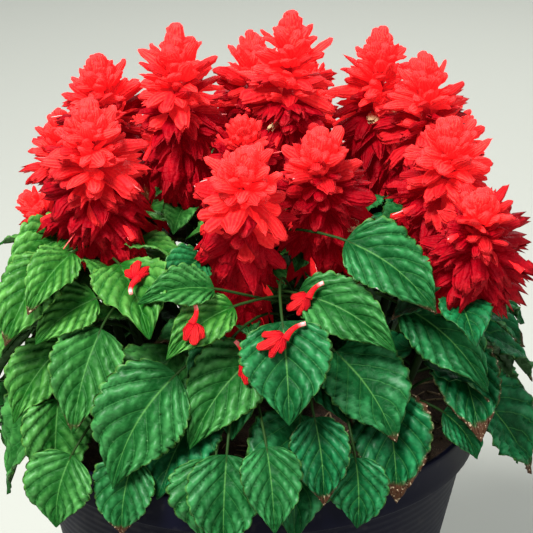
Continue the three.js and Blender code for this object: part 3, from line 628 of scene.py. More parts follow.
def on_shell(upper, lower, ends):
    """Points or values in the order of a shell's points: the upper grid, the lower grid without the
    margins, which it shares with the upper one, and the two end points."""
    each = upper.shape[2:]
    return np.concatenate([upper.reshape(-1, *each), lower[:, 1:-1].reshape(-1, *each), ends])


def shell_faces(rows, columns):
    """Quads of the upper and the lower grid of a closed shell, and the triangles that join the first
    and the last row to the end points. Upper faces look up, lower ones down."""
    top = np.arange(rows * columns).reshape(rows, columns)
    low = top.copy()
    low[:, 1:-1] = top.size + np.arange(rows * (columns - 2)).reshape(rows, -1)
    first = np.full(columns - 1, top.size + rows * (columns - 2))
    last = first + 1
    quads = np.concatenate([
        np.stack([top[:-1, :-1], top[1:, :-1], top[1:, 1:], top[:-1, 1:]], axis=-1).reshape(-1, 4),
        np.stack([low[:-1, :-1], low[:-1, 1:], low[1:, 1:], low[1:, :-1]], axis=-1).reshape(-1, 4),
    ])
    triangles = np.concatenate([
        np.stack([first, top[0, :-1], top[0, 1:]], axis=-1),
        np.stack([first, low[0, 1:], low[0, :-1]], axis=-1),
        np.stack([last, top[-1, 1:], top[-1, :-1]], axis=-1),
        np.stack([last, low[-1, :-1], low[-1, 1:]], axis=-1),
    ])
    return quads, triangles


def blade(leaf):
    """A blade: part s along the middle line and v across give centre(s) + v * reach(s) * side(s) +
    rise * normal(s). reach is half the width times sin(pi s^0.62)^0.85, slimmer near the tip and
    with rounded teeth on it; rise adds the fold, the waves of the margin, the quilting, crumples,
    the groove over the midrib and the curl. The underside is the same surface, lower by the
    thickness, and shares the margin and both ends."""
    rows, columns = BLADE_GRIDS[leaf["grid"]]
    length, width = leaf["length"], leaf["width"]
    s = (np.arange(1, rows) / rows)[:, None]
    v = np.linspace(-1, 1, columns + 1)[None, :]
    v = np.sign(v) * np.abs(v) ** 0.92
    edge = np.abs(v)
    point, _, side, normal = (a[:, None] for a in leaf_stations(leaf, s[:, 0]))

    bulge = tooth_bulge(leaf, s)
    outline = np.sin(np.pi * s ** LEAF_WIDEST) ** LEAF_FULLNESS
    taper = 1 - 0.24 * smooth(0.6, 0.95, s)
    depth = LOBE_DEPTH * (1 - 0.35 * s) * edge ** 6
    reach = BLADE_BREADTH * width / 2 * outline * taper * (1 + depth * (bulge - 0.7))

    turns = LEAF_WAVES * s + np.sign(v) / 4 + leaf["phase"]
    wave = LEAF_WAVE * length * np.sin(2 * np.pi * turns) * np.sin(np.pi * s) * edge ** 1.6
    place = np.stack(np.broadcast_arrays(s * length, v * width / 2 + 31 * leaf["mark"]), axis=-1)
    relief = quilting(s, edge, place, bulge)
    quilt = QUILT * (relief - QUILT_SINK * relief_share(s))
    crumple = (FINE_CRUMPLE * rough(place, 5.0, SEED + 1) * (1 - edge ** 6)
               + COARSE_CRUMPLE * rough(place, 14.0, SEED + 7)) * edge ** 0.5
    groove = MIDRIB_GROOVE * np.exp(-(edge * 9) ** 2) * np.sin(np.pi * s) ** 0.5
    curl = CURL * edge ** 5
    rise = (LEAF_FOLD * reach * edge ** 1.2 + wave
            + length / FULL_LENGTH * (quilt + crumple - groove - curl))

    top = point + side * (v * reach)[..., None] + normal * rise[..., None]
    thickness = BLADE_THICKNESS * (1 - 0.5 * edge ** 2) * np.ones_like(s)
    under = top - normal * thickness[..., None]
    points = on_shell(top, under, leaf_stations(leaf, np.array([0.0, 1.0]))[0])
    every = np.ones_like(relief)
    return points, *shell_faces(*relief.shape), {
        "along": on_shell(s * every, s * every, [0, 1]),
        "across": on_shell(v * every, v * every, [0, 0]),
        "inside": on_shell(0 * every, every, [0, 0]),
        "relief": on_shell(relief, relief, [0, 0]),
    }


def petiole(leaf):
    """A petiole and the midrib under the blade: a round profile carried along a curve with three
    control points from the joint to the blade's base, and on under the blade's middle line."""
    base, joint = leaf["base"], leaf["joint"]
    _, direction, _, _ = leaf_stations(leaf, 0.0)
    bend = base - direction * PETIOLE_BEND * np.linalg.norm(base - joint)
    part = np.linspace(0, 0.96, PETIOLE_STATIONS)[:, None]
    curve = joint * (1 - part) ** 2 + bend * 2 * part * (1 - part) + base * part ** 2
    rib = RIB_STATIONS
    point, _, _, normal = leaf_stations(leaf, rib)
    thickness = PETIOLE_RADIUS * np.linspace(*RIB_SLIMNESS, len(rib))
    lowered = QUILT_SINK * QUILT * relief_share(rib) + MIDRIB_GROOVE * np.sin(np.pi * rib) ** 0.5
    sunk = (leaf["length"] / FULL_LENGTH * lowered + BLADE_THICKNESS * smooth(0.0, 0.12, rib)
            + 0.35 * thickness)
    path = np.concatenate([curve, point - normal * sunk[:, None]])
    radii = PETIOLE_RADIUS * np.linspace(*PETIOLE_SLIMNESS, PETIOLE_STATIONS)
    return tube(path, np.concatenate([radii, thickness]), sides=6,
                reference=UP + 0.01 * outward(leaf["heading"] + 90))


KNOT_STEP = 38  # from one joint of a stem to the next
KNOT_LENGTH = 4.5
KNOT_SWELL = 0.14


def stem_surface(stem):
    """A stem: a square profile with round corners carried up the leaning axis, thicker at the
    joints, from the bottom of its hole to a little way into the flower spike."""
    bottom = stem["ground"] - HOLE_DEPTH
    height = np.concatenate([[bottom], np.linspace(stem["ground"] - 4, stem["foot"][2], 25)])
    path = stem_point(stem, height)
    path = np.concatenate([path, [stem["foot"] + stem["axis"] * 8]])
    part = np.clip((path[:, 2] - stem["ground"]) / (stem["foot"][2] - stem["ground"]), 0, 1)
    past_joint = (path[:, 2] - stem["foot"][2] + PAIR_DROP) % KNOT_STEP
    knot = np.exp(-(past_joint / KNOT_LENGTH - 1) ** 2)
    radii = STEM_HALF_SIDE * lerp(1, STEM_TAPER, part) * (1.02 + KNOT_SWELL * knot)
    return tube(path, radii, sides=16, reference=np.array([0, 1.0, 0.001]), flute=-0.1)


# Small leaves: height below the spike's foot, turn from the leaf pair, pitch, length and width.
SMALL_LEAVES = ((4, 60, -30, 24, 14), (6, 240, -24, 26, 15), (18, 115, -12, 42, 25),
                (22, 295, -10, 42, 26), (34, 20, -8, 34, 22), (52, 80, -20, 48, 32),
                (60, 260, -20, 48, 32))
SMALL_MARK = 400  # number from which they are counted


def small_leaves(stems):
    """Small leaves that hang at the upper joints of each stem, under its flower spike."""
    leaves = []
    for i, stem in enumerate(stems):
        for j, (below, turn, pitch, length, width) in enumerate(SMALL_LEAVES):
            mark = SMALL_MARK + len(SMALL_LEAVES) * i + j
            heading = pair_heading(i) + turn + 25 * jitter(mark, 410)
            grown = 1 + 0.2 * jitter(mark, 411)
            leaf = leaf_wish(heading, 0, 0, 0, pitch + 12 * jitter(mark, 412),
                             length * grown, width * grown, mark)
            leaf["joint"] = stem_point(stem, stem["foot"][2] - below)
            leaf["base"] = leaf["joint"] + outward(heading) * 6 + UP * 2
            leaf["grid"], leaf["owner"] = "small", i
            leaves.append(leaf)
    return leaves


def leaf_tone(leaf):
    """From 0 for a dark, bluish leaf to 1 for a light, yellowish one. The random part is each leaf's own
    tone; on top of it, painted light makes leaves that grow higher or more to the left lighter."""
    # Painted light: leaves higher up and more to the left, where the light falls, are made lighter.
    painted_sunlight = (leaf["base"][2] - 300) / 180 - leaf["base"][0] / 250
    return np.clip(0.42 + 0.34 * jitter(leaf["mark"], 320) + painted_sunlight, 0, 1)


def make_foliage(stems, material):
    """A piece for each stem with the blades and petioles that grow from it."""
    fresh_share, dryness = DRY_OTHERS
    leaves = grown_leaves(stems) + small_leaves(stems)
    for i, stem in enumerate(stems):
        piece = Piece()
        points, quads, ends, along = stem_surface(stem)
        piece.add(points, quads, ends, along=along, stalk=1, tone=scatter(i, 500))
        for leaf in (leaf for leaf in leaves if leaf["owner"] == i):
            mark, tone = leaf["mark"], leaf_tone(leaf)
            dry = DRY_LEAVES.get(mark, dryness if scatter(mark, 330) > fresh_share else 0.0)
            points, quads, triangles, marks = blade(leaf)
            piece.add(points, quads, triangles, tone=LEAF_TONES.get(mark, tone), dry=dry, **marks)
            points, quads, ends, along = petiole(leaf)
            piece.add(points, quads, ends, along=along, stalk=0.9, tone=tone)
        number = f"{i + 1:02d}"
        piece.finish(f"foliage_{number}", material, "foliage", f"leafy_stem_{number}")


# ---------------------------------------------------------------- flower spikes
# One floret, lobe or bud of a spike: where it grows and which way, its length and width, its place
# along the spike from 0 at the tip to 1 at the foot, its kind and its turn to the side.
Floret = namedtuple("Floret", "root direction side normal size width place kind yaw")
MAIN_LOBE, SIDE_LOBE, FILLER, BUD = range(4)

# Profiles of a floret along its length: place, and half width as a bud, as an open cup and as a
# pointed bract. The last ring closes a bud and is turned into the mouth of a cup.
FLORET_PROFILE = np.array([
    [0.0, 0.34, 0.28, 0.3],
    [0.2, 0.84, 0.62, 0.8],
    [0.45, 1.0, 0.88, 1.02],
    [0.72, 1.0, 1.0, 0.86],
    [0.92, 0.86, 1.0, 0.44],
    [1.0, 0.6, 0.9, 0.14],
    [1.0, 0.26, 0.66, 0.04],
])
CLOSED_END = (1.04, 1.06)  # places of the last ring and the end point of a bud
OPEN_END = (0.88, 0.5)
FLORET_CRUMPLE = 0.19
MOUTH_TEETH = (0.26, -0.1)  # how far forward the ridges and the grooves of the mouth's edge lie
TOOTH_WIDTH = 0.8
GROOVE_DEPTH = 0.86  # half width in a groove against that on a ridge


def florets(root, direction, side, normal, size, width, shape, flatness, tone, droop, sides):
    """Many florets at once, as arrays over them. Each is a fluted cup: part a along it lies at
    root + size * (a * direction - droop * a^2 * normal), with a ring of points around it, whose half
    width follows a profile; shape gives the shares of bud, cup and bract in it. A bud is closed; the
    mouth of a cup has pointed teeth, turns in and closes half way down."""
    count = len(root)
    openness = shape[:, 1]
    place = np.repeat(FLORET_PROFILE[None, :, 0], count, axis=0)
    place[:, -1] = lerp(CLOSED_END[0], OPEN_END[0], openness)
    last = lerp(CLOSED_END[1], OPEN_END[1], openness)
    half = shape @ FLORET_PROFILE[:, 1:].T * width[:, None] / 2
    is_ridge = np.arange(sides) % 2 == 0
    teeth = np.zeros((count, place.shape[1], sides))
    teeth[:, -2] = np.where(is_ridge, *MOUTH_TEETH) * openness[:, None]
    a = (place[:, :, None] + teeth)[..., None]
    direction, side, normal = (way[:, None, None] for way in (direction, side, normal))
    length = size[:, None, None, None]
    fall = droop[:, None, None, None]
    path = root[:, None, None] + length * (a * direction - fall * a ** 2 * normal)
    slope = np.arctan(2 * fall * a)
    up = (normal * np.cos(slope) + direction * np.sin(slope)) * flatness[:, None, None, None]
    uneven = np.random.default_rng(SEED + count).normal(1, FLORET_CRUMPLE, a.shape[:3])
    uneven[:, -2] *= np.where(is_ridge, lerp(1, TOOTH_WIDTH, openness)[:, None], 1)
    reach = half[:, :, None] * np.where(is_ridge, 1.0, GROOVE_DEPTH) * uneven
    a = last[:, None, None]
    ends = root[:, None] + size[:, None, None] * np.concatenate([
        -0.02 * direction[:, 0], a * direction[:, 0] - fall[:, 0] * a ** 2 * normal[:, 0]], axis=1)
    points, quads, fans = sweep(path, side, up, reach, ends)
    inner = np.array([0, 0, 0, 0, 0, 0, 1.0]) * openness[:, None]
    ridges = np.tile(is_ridge, (count, place.shape[1]))
    return points, quads, fans, {
        "along": spread(np.minimum(place, 1), sides, 0.0, last),
        "across": np.concatenate([ridges, np.zeros((count, 2))], axis=1),
        "inside": spread(inner, sides, 0.0, openness),
        "tone": spread(np.repeat(tone[:, None], place.shape[1], axis=1), sides, tone, tone),
    }


def axis_distance(stems, points):
    """Distances from points to the line of each spike, as an array over spikes and points."""
    foot = np.array([stem["foot"] for stem in stems])[:, None]
    axis = np.array([stem["axis"] for stem in stems])[:, None]
    offset = points[None] - foot
    return np.linalg.norm(offset - axis * np.sum(offset * axis, axis=-1, keepdims=True), axis=-1)


def whorl_depths(length):
    """How far below the tip the whorls of a spike stand: each step is 1 mm longer than the one
    before, up to WHORL_STEP_MOST, and all are stretched to fill the length."""
    depths = [0.0]
    while depths[-1] <= length:
        depths.append(depths[-1] + min(WHORL_STEP + len(depths), WHORL_STEP_MOST))
    depths.pop()
    return np.array(depths) * length / depths[-1]


def spoke_at(stem, angle):
    """The way straight out of a spike's axis at an angle round it."""
    right = unit(np.array([1.0, 0, 0]) - stem["axis"] * stem["axis"][0])
    return right * math.cos(angle) + np.cross(stem["axis"], right) * math.sin(angle)


def horn(stem, index, stems, spoke, start, pitch, size):
    """Whether a solid floret of this size stays nearer to its own spike than to any other, with the
    width of its waist and its direction, side and normal."""
    side = np.cross(stem["axis"], spoke)
    direction = spoke * math.cos(pitch) + stem["axis"] * math.sin(pitch)
    normal = np.cross(direction, side)
    droop = math.radians(FLORET_DROOP)
    bent = direction * math.cos(droop) - normal * math.sin(droop)
    waist = start + direction * FLORET_WAIST * size
    share = 2 * axis_distance([stem], waist[None])[0, 0] * math.sin(math.pi / WHORL_FLORETS)
    width = min(FLORET_WIDTH * size / FLORET_LENGTH, FLORET_SHARE * share)
    depth = FLORET_DEPTH * size / FLORET_LENGTH
    corners = np.array([waist - side * width / 2 - normal * depth / 2,
                        waist + side * width / 2 - normal * depth / 2,
                        waist + normal * depth / 2,
                        waist + bent * (1 - FLORET_WAIST) * size])
    away = axis_distance(stems, corners)
    others = np.arange(len(stems)) != index
    is_clear = bool(np.all(away[others] > away[index] + 2 * GAP))
    return is_clear, width, (direction, side, normal)


# Lobes of a floret of the solids: turn to the side in radians, length and width against its own.
LOBES = ((0.0, 0.97, 0.84), (0.42, 0.76, 0.72), (-0.44, 0.8, 0.7))
# Florets that fill between those of the solids: steps of the whorl round from them, whorls down,
# size against theirs and how much steeper in radians. Those of the foot stand there alone.
FILLERS = ((0.75, 0.5, 0.95, -0.1), (1.0, 0.0, 0.84, 0.14), (0.25, 0.72, 0.8, 0.1))
FOOT_FILLERS = ((0.5, 1.0, 0.8, -0.3), (0.0, 1.1, 0.7, -0.45))
FILL_JITTER = 0.13
FILL_WIDTH = 0.84
# Rings of buds at the tip: how many, how far below the tip, pitch, length and width.
TIP_BUDS = ((1, 1.0, 88, 14, 9), (4, 1.5, 84, 13, 8.5), (6, 4.5, 76, 13, 8.5), (7, 9.0, 55, 13.5, 9))
BUD_SINK = 5.5  # how much deeper all of them stand


def spike_florets(stem, index, stems):
    """The florets that the solid of a spike has, each as a cluster of lobes, and those that fill
    between them."""
    depths = whorl_depths(np.linalg.norm(stem["foot"] - stem["tip"]) - GAP)
    last = len(depths) - 1
    rows = []
    for level in range(1, last):
        core = lerp(CORE_TOP_RADIUS, CORE_RADIUS, math.sqrt(level / last))
        rise = math.radians(max(TOP_PITCH - PITCH_STEP * (level - 1), LOW_PITCH))
        full = stem["florets"] * FLORET_LENGTH * min(1, FLORET_FIRST + FLORET_GROWTH * level)
        fillers = FILLERS + (FOOT_FILLERS if level == last - 1 else ())
        mark = 50 * index + level
        for i in range(WHORL_FLORETS):
            spoke = spoke_at(stem, 2 * math.pi * (i + 0.5 + 0.5 * (level % 2)) / WHORL_FLORETS)
            start = stem["tip"] - stem["axis"] * depths[level] + spoke * core
            pitch = rise + FLORET_JITTER * jitter(i, mark)
            size = full * (1 + FLORET_JITTER * jitter(i + 10, mark))
            is_clear, width, ways = horn(stem, index, stems, spoke, start, pitch, size)
            while not is_clear and size > FLORET_LEAST * full:
                size *= FLORET_SHRINK
                is_clear, width, ways = horn(stem, index, stems, spoke, start, pitch, size)
            for lobe, (yaw, long, wide) in enumerate(LOBES):
                kind = SIDE_LOBE if lobe else MAIN_LOBE
                rows.append(Floret(start, *ways, long * size, wide * width, level / last, kind, yaw))
            for number, (turn, down, share, steeper) in enumerate(fillers, 1):
                fill_mark = mark + 30 * number
                part = i + turn + 0.5 * (level % 2) + 0.12 * jitter(i, fill_mark)
                spoke = spoke_at(stem, 2 * math.pi * part / WHORL_FLORETS)
                below = lerp(depths[level], depths[level + 1], down)
                start = stem["tip"] - stem["axis"] * below + spoke * core * 0.9
                fill = share * size * (1 + FILL_JITTER * jitter(i + 20, fill_mark))
                fill_pitch = pitch + steeper + FILL_JITTER * jitter(i + 40, fill_mark)
                _, width, ways = horn(stem, index, stems, spoke, start, fill_pitch, fill)
                place = (level + down) / last
                rows.append(Floret(start, *ways, fill, FILL_WIDTH * width, place, FILLER, 0.0))
    return rows


def top_buds(stem, index):
    """The egg of upright buds at the tip of a spike: rings of buds wrapped round each other."""
    rows = []
    for ring, (count, below, pitch, size, width) in enumerate(TIP_BUDS):
        for i in range(count):
            spoke = spoke_at(stem, 2 * math.pi * (i + 0.5 * ring + 0.2) / count)
            rise = math.radians(pitch + 4 * jitter(i, index + 700))
            side = np.cross(stem["axis"], spoke)
            direction = spoke * math.cos(rise) + stem["axis"] * math.sin(rise)
            start = stem["tip"] - stem["axis"] * (below + BUD_SINK) + spoke * (1.2 if ring else 0)
            grown = stem["florets"] * (1 + 0.12 * jitter(i, index + 720))
            rows.append(Floret(start, direction, side, np.cross(direction, side),
                               size * grown, width * grown, 0.0, BUD, 0.0))
    return rows


# Places along a spike, from its tip, between which its florets turn from coral to crimson; the
# crimson is partly their own colour and partly painted shade on the lower spike.
TURNS_DARK = (0.3, 0.7)
TURNS_DARK_EARLY = (0.16, 0.54)
EARLY_SPIKES = (6, 7, 8, 12)
OPENS = (0.45, 0.85)  # places between which they open
WITHERED = 0.03  # share of the fillers in the lower half
BRACTS = 0.4  # share of bracts at the foot
FLORET_ROUNDNESS = 0.56  # of a floret's height against its width
BRACT_ROUNDNESS = 0.34
BUD_ROUNDNESS = 0.85


def turned(first, second, angle):
    """Two ways at right angles, turned in their plane by an angle from the first to the second."""
    cosine, sine = np.cos(angle)[:, None], np.sin(angle)[:, None]
    return first * cosine + second * sine, second * cosine - first * sine


def grow(rows, turns, rng):
    """The florets of a spike as arrays, with their shapes, tones, bends and turns. Buds at the tip
    stay upright and closed. The florets below are short at first and soon full grown; towards the
    foot they broaden, open, droop and turn crimson, a tone that is partly their own colour and partly
    painted shade. Some are flat pointed bracts, and a few fillers are withered."""
    root, direction, side, normal, size, width, place, kind, yaw = map(np.array, zip(*rows))
    count = len(rows)
    is_bud, is_filler = kind == BUD, kind == FILLER

    openness = smooth(*OPENS, place + 0.2 * rng.uniform(-1, 1, count)) * 0.95
    # Tone runs from coral at the tip to crimson at the foot: partly the florets' own colour, partly
    # painted shade.
    tone = 1 - smooth(*turns, place + 0.16 * rng.uniform(-1, 1, count))
    is_dry = (rng.random(count) < WITHERED) & (place > 0.5) & is_filler
    is_bract = (rng.random(count) < BRACTS * place) & ~is_bud
    openness = np.where(is_bract, 0.0, openness)
    pointed = np.where(is_bract, 1.0, (0.4 + 0.3 * place) * rng.random(count)) * (1 - openness)
    flatness = np.where(is_bract, BRACT_ROUNDNESS, FLORET_ROUNDNESS + 0.14 * rng.uniform(-1, 1, count))
    droop = np.where(is_bud, -0.06, lerp(0.04, 0.4, smooth(0.2, 0.8, place)))
    droop += np.where(is_bud, 0.08, 0.2) * rng.uniform(-1, 1, count)

    tilt = np.where(is_bud, 0.04, 0.2) * rng.uniform(-1, 1, count)
    direction, normal = turned(direction, normal, tilt)
    roll = 0.6 * rng.uniform(-1, 1, count)
    direction, side = turned(direction, side, yaw + 0.2 * rng.uniform(-1, 1, count))
    side, normal = turned(side, normal, roll)

    uneven = np.where(is_bud, 0.06, 0.18) * rng.uniform(-1, 1, count)
    growing = lerp(0.55, 1.0, smooth(0.05, 0.36, place)) + 0.12 * smooth(0.7, 1, place)
    growing *= lerp(1.0, 0.84, smooth(0.3, 0.7, place))
    growing *= np.where(is_filler, lerp(0.72, 1.0, smooth(0.3, 0.6, place)), 1.0)
    length = size * (1 + uneven) * np.where(is_dry, 0.75, 1.0) * np.where(is_bud, 1.0, growing)
    breadth = width * np.where(is_bud, 1.0, lerp(0.94, 1.16, smooth(0.3, 0.8, place)))
    return {
        "root": root, "direction": direction, "side": side, "normal": normal,
        "length": length, "breadth": breadth,
        "shape": np.stack([1 - openness - pointed, openness, pointed], axis=-1),
        "flatness": np.where(is_bud, BUD_ROUNDNESS, flatness),
        "tone": tone, "droop": droop, "size": size, "kind": kind, "is_dry": is_dry,
    }


FLORET_VALUES = ("root", "direction", "side", "normal", "length", "breadth", "shape", "flatness",
                 "tone", "droop")


def add_florets(piece, grown):
    """Main lobes and buds with eight sides, the others with six."""
    is_main = (grown["kind"] == MAIN_LOBE) | (grown["kind"] == BUD)
    for chosen, sides in ((is_main, 8), (~is_main, 6)):
        points, quads, fans, marks = florets(*(grown[name][chosen] for name in FLORET_VALUES), sides)
        dry = np.repeat(grown["is_dry"][chosen], len(points) // np.count_nonzero(chosen))
        piece.add(points, quads, fans, dry=dry, **marks)


def add_core(piece, stem):
    """The flowering stem inside the florets, a slim cone from just under the foot to the tip."""
    height = np.linspace(-2, np.linalg.norm(stem["foot"] - stem["tip"]) - 1, 8)
    path = stem["foot"] + stem["axis"] * height[:, None]
    points, quads, ends, _ = tube(path, np.linspace(4.2, 1.6, 8), 8, reference=np.array([0, 1.0, 0]))
    piece.add(points, quads, ends, along=0, tone=0.2)


# Threads that stand out of open florets: how many of a spike have them, their length and radius,
# how much they widen, and whether they are styles, of which some are pale.
TUBES = (4, 0.95, 1.7, 1.3, False)
STYLES = (7, 1.0, 0.36, 0.8, True)
PALE_STYLES = 0.3


def add_tubes_and_styles(piece, grown, rng):
    """Petal tubes and styles of some open florets, which lean to a side and hang with the floret."""
    is_open = (grown["shape"][:, 1] > 0.3) & (grown["kind"] == MAIN_LOBE)
    some = rng.permutation(np.flatnonzero(is_open))
    for number, reach, thick, flare, is_style in (TUBES, STYLES):
        chosen = some[:number]
        direction, side, normal = (grown[name][chosen] for name in ("direction", "side", "normal"))
        size, fall = grown["size"][chosen], grown["droop"][chosen, None]
        lean = rng.uniform(-0.3, 0.3, (len(chosen), 1))
        start = grown["root"][chosen] + size[:, None] * (0.4 * direction - 0.16 * fall * normal)
        lift = -0.9 * fall * normal + 0.5 * lean * side
        length = reach * size * rng.uniform(0.5, 0.72, len(chosen))
        radius = thick * rng.uniform(0.8, 1.1, len(chosen))
        points, quads, fans, along = threads(start, unit(direction + lean * side), lift, length,
                                             radius, flare)
        paleness = np.where(rng.random((len(chosen), 1)) < PALE_STYLES, 1.0, 0.3)
        pale = spread(np.repeat(paleness, 5, axis=1), 5, 0, 0) if is_style else 0
        piece.add(points, quads, fans, along=0.55 + 0.45 * along, tone=0.9, stalk=pale)


def make_flower_heads(stems, material):
    """A piece for each flower spike."""
    for index, stem in enumerate(stems):
        rng = np.random.default_rng(SEED + index)
        turns = TURNS_DARK_EARLY if index in EARLY_SPIKES else TURNS_DARK
        grown = grow(spike_florets(stem, index, stems) + top_buds(stem, index), turns, rng)
        piece = Piece()
        add_florets(piece, grown)
        add_core(piece, stem)
        add_tubes_and_styles(piece, grown, rng)
        number = f"{index + 1:02d}"
        piece.finish(f"flower_head_{number}", material, "scarlet_flower", f"flower_spike_{number}")


# Lips of a dropped flower: turn to the side, rise, length against the flower's, width, how round
# the end is, and tone.
LIPS = ((0.1, 0.14, 0.62, 6.0, 0.4, 0.4), (-0.42, 0.04, 0.56, 5.4, 0.1, 0.2),
        (-0.95, 0.0, 0.4, 5.0, 0.1, 0.1), (0.8, 0.0, 0.46, 6.0, 0.1, 0.3))


def make_dropped_flowers(material):
    """A flower that has fallen on a leaf lies along the long axis of its solid: a slim bent tube from
    a pale root, which opens into a hooded upper lip and lobes of the lower lip."""
    names = sorted(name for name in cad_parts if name.startswith("fallen_floret"))
    for number, name in enumerate(names, 1):
        corners = np.unique(np.round(node_points(name), 4), axis=0)
        middle = corners.mean(axis=0)
        long_way, _, flat = np.linalg.svd(corners - middle)[2]
        place = (corners - middle) @ long_way
        # The widest ring stands nearer to the mouth, so the root is the end farther from it.
        if abs(place.min()) < abs(place.max()):
            long_way, place = -long_way, -place
        length = place.max() - place.min()
        flat = flat if flat[2] > 0 else -flat
        side = np.cross(flat, long_way) * (1 if number % 2 else -1)
        root = middle + long_way * place.min() + flat * 1.2 - side * 3
        piece = Piece()
        one = np.ones(1)
        points, quads, fans, along = threads(
            root[None], unit(long_way + 0.5 * side)[None], -0.5 * side[None], 0.62 * length * one,
            1.2 * one, 1.8, sides=10, rows=10)
        piece.add(points, quads, fans, along=0.6 + 0.3 * along, tone=0.5,
                  stalk=0.95 - smooth(0.1, 0.3, along) * 0.95)
        throat = root + 0.55 * length * (0.95 * long_way + 0.13 * side)
        count = len(LIPS)
        turn, rise, size, width, roundness, tone = np.array(LIPS).T
        ways = unit(long_way + turn[:, None] * side + rise[:, None] * flat)
        across = unit(np.cross(np.tile(flat, (count, 1)), ways))
        shape = np.stack([roundness, np.full(count, 0.15), 0.85 - roundness], axis=-1)
        points, quads, fans, marks = florets(
            np.tile(throat, (count, 1)), ways, across, np.cross(ways, across), size * length, width,
            shape, np.full(count, 0.36), tone, np.full(count, 0.12), 8)
        piece.add(points, quads, fans, **marks)
        piece.finish(f"dropped_flower_{number}", material, "scarlet_flower", name)


# ---------------------------------------------------------------- pot and soil
POT_SIDES = 96
RIDGE_PITCH = 5.0
RIDGE_HEIGHT = 0.3
RIM_ROUND = 1.1  # radius of the edges of the rim band
FOOT_RING = 80  # radius from which the wall's foot goes on as the floor's plate
PLATE_SIDES = 64
PEG_SIDES = 24


def pot_profile():
    """The wall's profile as places from the axis and heights, going up outside and down inside: a
    cone with level ridges every RIDGE_PITCH, a rim band with round edges and a plain inner face."""
    heights = np.arange(1.5, POT_HEIGHT - RIM_BAND - 1, RIDGE_PITCH / 4)
    wave = np.clip(np.cos(2 * np.pi * heights / RIDGE_PITCH), 0, 1) ** 2
    wall = np.stack([wall_radius(heights) + RIDGE_HEIGHT * (wave - 1), heights], axis=-1)
    band = POT_HEIGHT - RIM_BAND
    turn = np.linspace(0, np.pi / 2, 4)
    rim_low = np.stack([POT_RIM_RADIUS - RIM_ROUND + RIM_ROUND * np.sin(turn),
                        band + RIM_ROUND - RIM_ROUND * np.cos(turn)], axis=-1)
    rim_top = np.stack([POT_RIM_RADIUS - RIM_ROUND + RIM_ROUND * np.cos(turn),
                        POT_HEIGHT - RIM_ROUND + RIM_ROUND * np.sin(turn)], axis=-1)
    hollow = POT_RIM_RADIUS - 0.35
    lip = np.array([[hollow, band + 5], [hollow, POT_HEIGHT - 5], [POT_RIM_RADIUS, POT_HEIGHT - 3.5]])
    inner_top = wall_radius(POT_HEIGHT) - POT_WALL
    inside = np.array([[inner_top + 0.8, POT_HEIGHT], [inner_top, POT_HEIGHT - 0.8],
                       [wall_radius(POT_FLOOR) - POT_WALL, POT_FLOOR], [FOOT_RING, POT_FLOOR],
                       [FOOT_RING, 0], [POT_BASE_RADIUS - 1.2, 0], [POT_BASE_RADIUS, 0.9]])
    outside = np.concatenate([wall, [[wall_radius(band) - 0.4, band - 0.6]], rim_low, lip, rim_top])
    return np.concatenate([outside, inside])


def make_pot(material):
    """The wall with the ring of the foot, and the plate of the floor with its drain holes."""
    wall = Piece()
    wall.add(*lathe(pot_profile(), POT_SIDES))
    wall.finish("pot_wall", material, "pot_plastic", "pot")
    inner, outer, top = 0.01, FOOT_RING + 1, POT_FLOOR - 0.05
    plate = Piece()
    plate.add(*lathe([[inner, 0], [outer, 0], [outer, top], [inner, top]], PLATE_SIDES))
    cut_drain_holes(plate.finish("pot_floor", material, "pot_plastic", "pot"), material)


def cut_drain_holes(floor, material):
    """The floor of the pot less a ring of round pegs."""
    drills = Piece()
    for hole in range(DRAIN_HOLES):
        centre = outward(360 / DRAIN_HOLES * hole) * DRAIN_CIRCLE
        path = centre + UP * np.array([[-2.0], [POT_FLOOR + 2.0]])
        points, quads, ends, _ = tube(path, [DRAIN_RADIUS, DRAIN_RADIUS], PEG_SIDES,
                                      reference=np.array([0, 1.0, 0]))
        drills.add(points, quads, ends)
    pegs = drills.finish("pegs", material, "pot_plastic")
    cut = floor.modifiers.new("drain holes", "BOOLEAN")
    cut.operation = "DIFFERENCE"
    cut.solver = "EXACT"
    cut.object = pegs
    graph = bpy.context.evaluated_depsgraph_get()
    mesh = bpy.data.meshes.new_from_object(floor.evaluated_get(graph))
    floor.modifiers.clear()
    floor.data = mesh
    bpy.data.objects.remove(pegs)


SOIL_RINGS = 48
SOIL_SIDES = 120
SOIL_SINK = 1.2  # how much lower the lumpy soil lies than the smooth dome
# Lumps of the soil: height, size across and what is added to the seed.
LUMPS = ((2.2, 22, 2), (1.5, 8, 3), (0.9, 3.4, 4))
CRUMBS = 560
CRUMB_REACH = 128
STRAWS = 190
STRAW_REACH = 124


def soil_surface(places):
    """Height of the soil over level places: the dome with coarse and fine lumps, flat at the wall."""
    reach = np.linalg.norm(places[..., :2], axis=-1)
    lumps = sum(height * rough(places, size, SEED + more) for height, size, more in LUMPS)
    return soil_height(reach) + lumps * (1 - smooth(118, 134, reach)) - SOIL_SINK


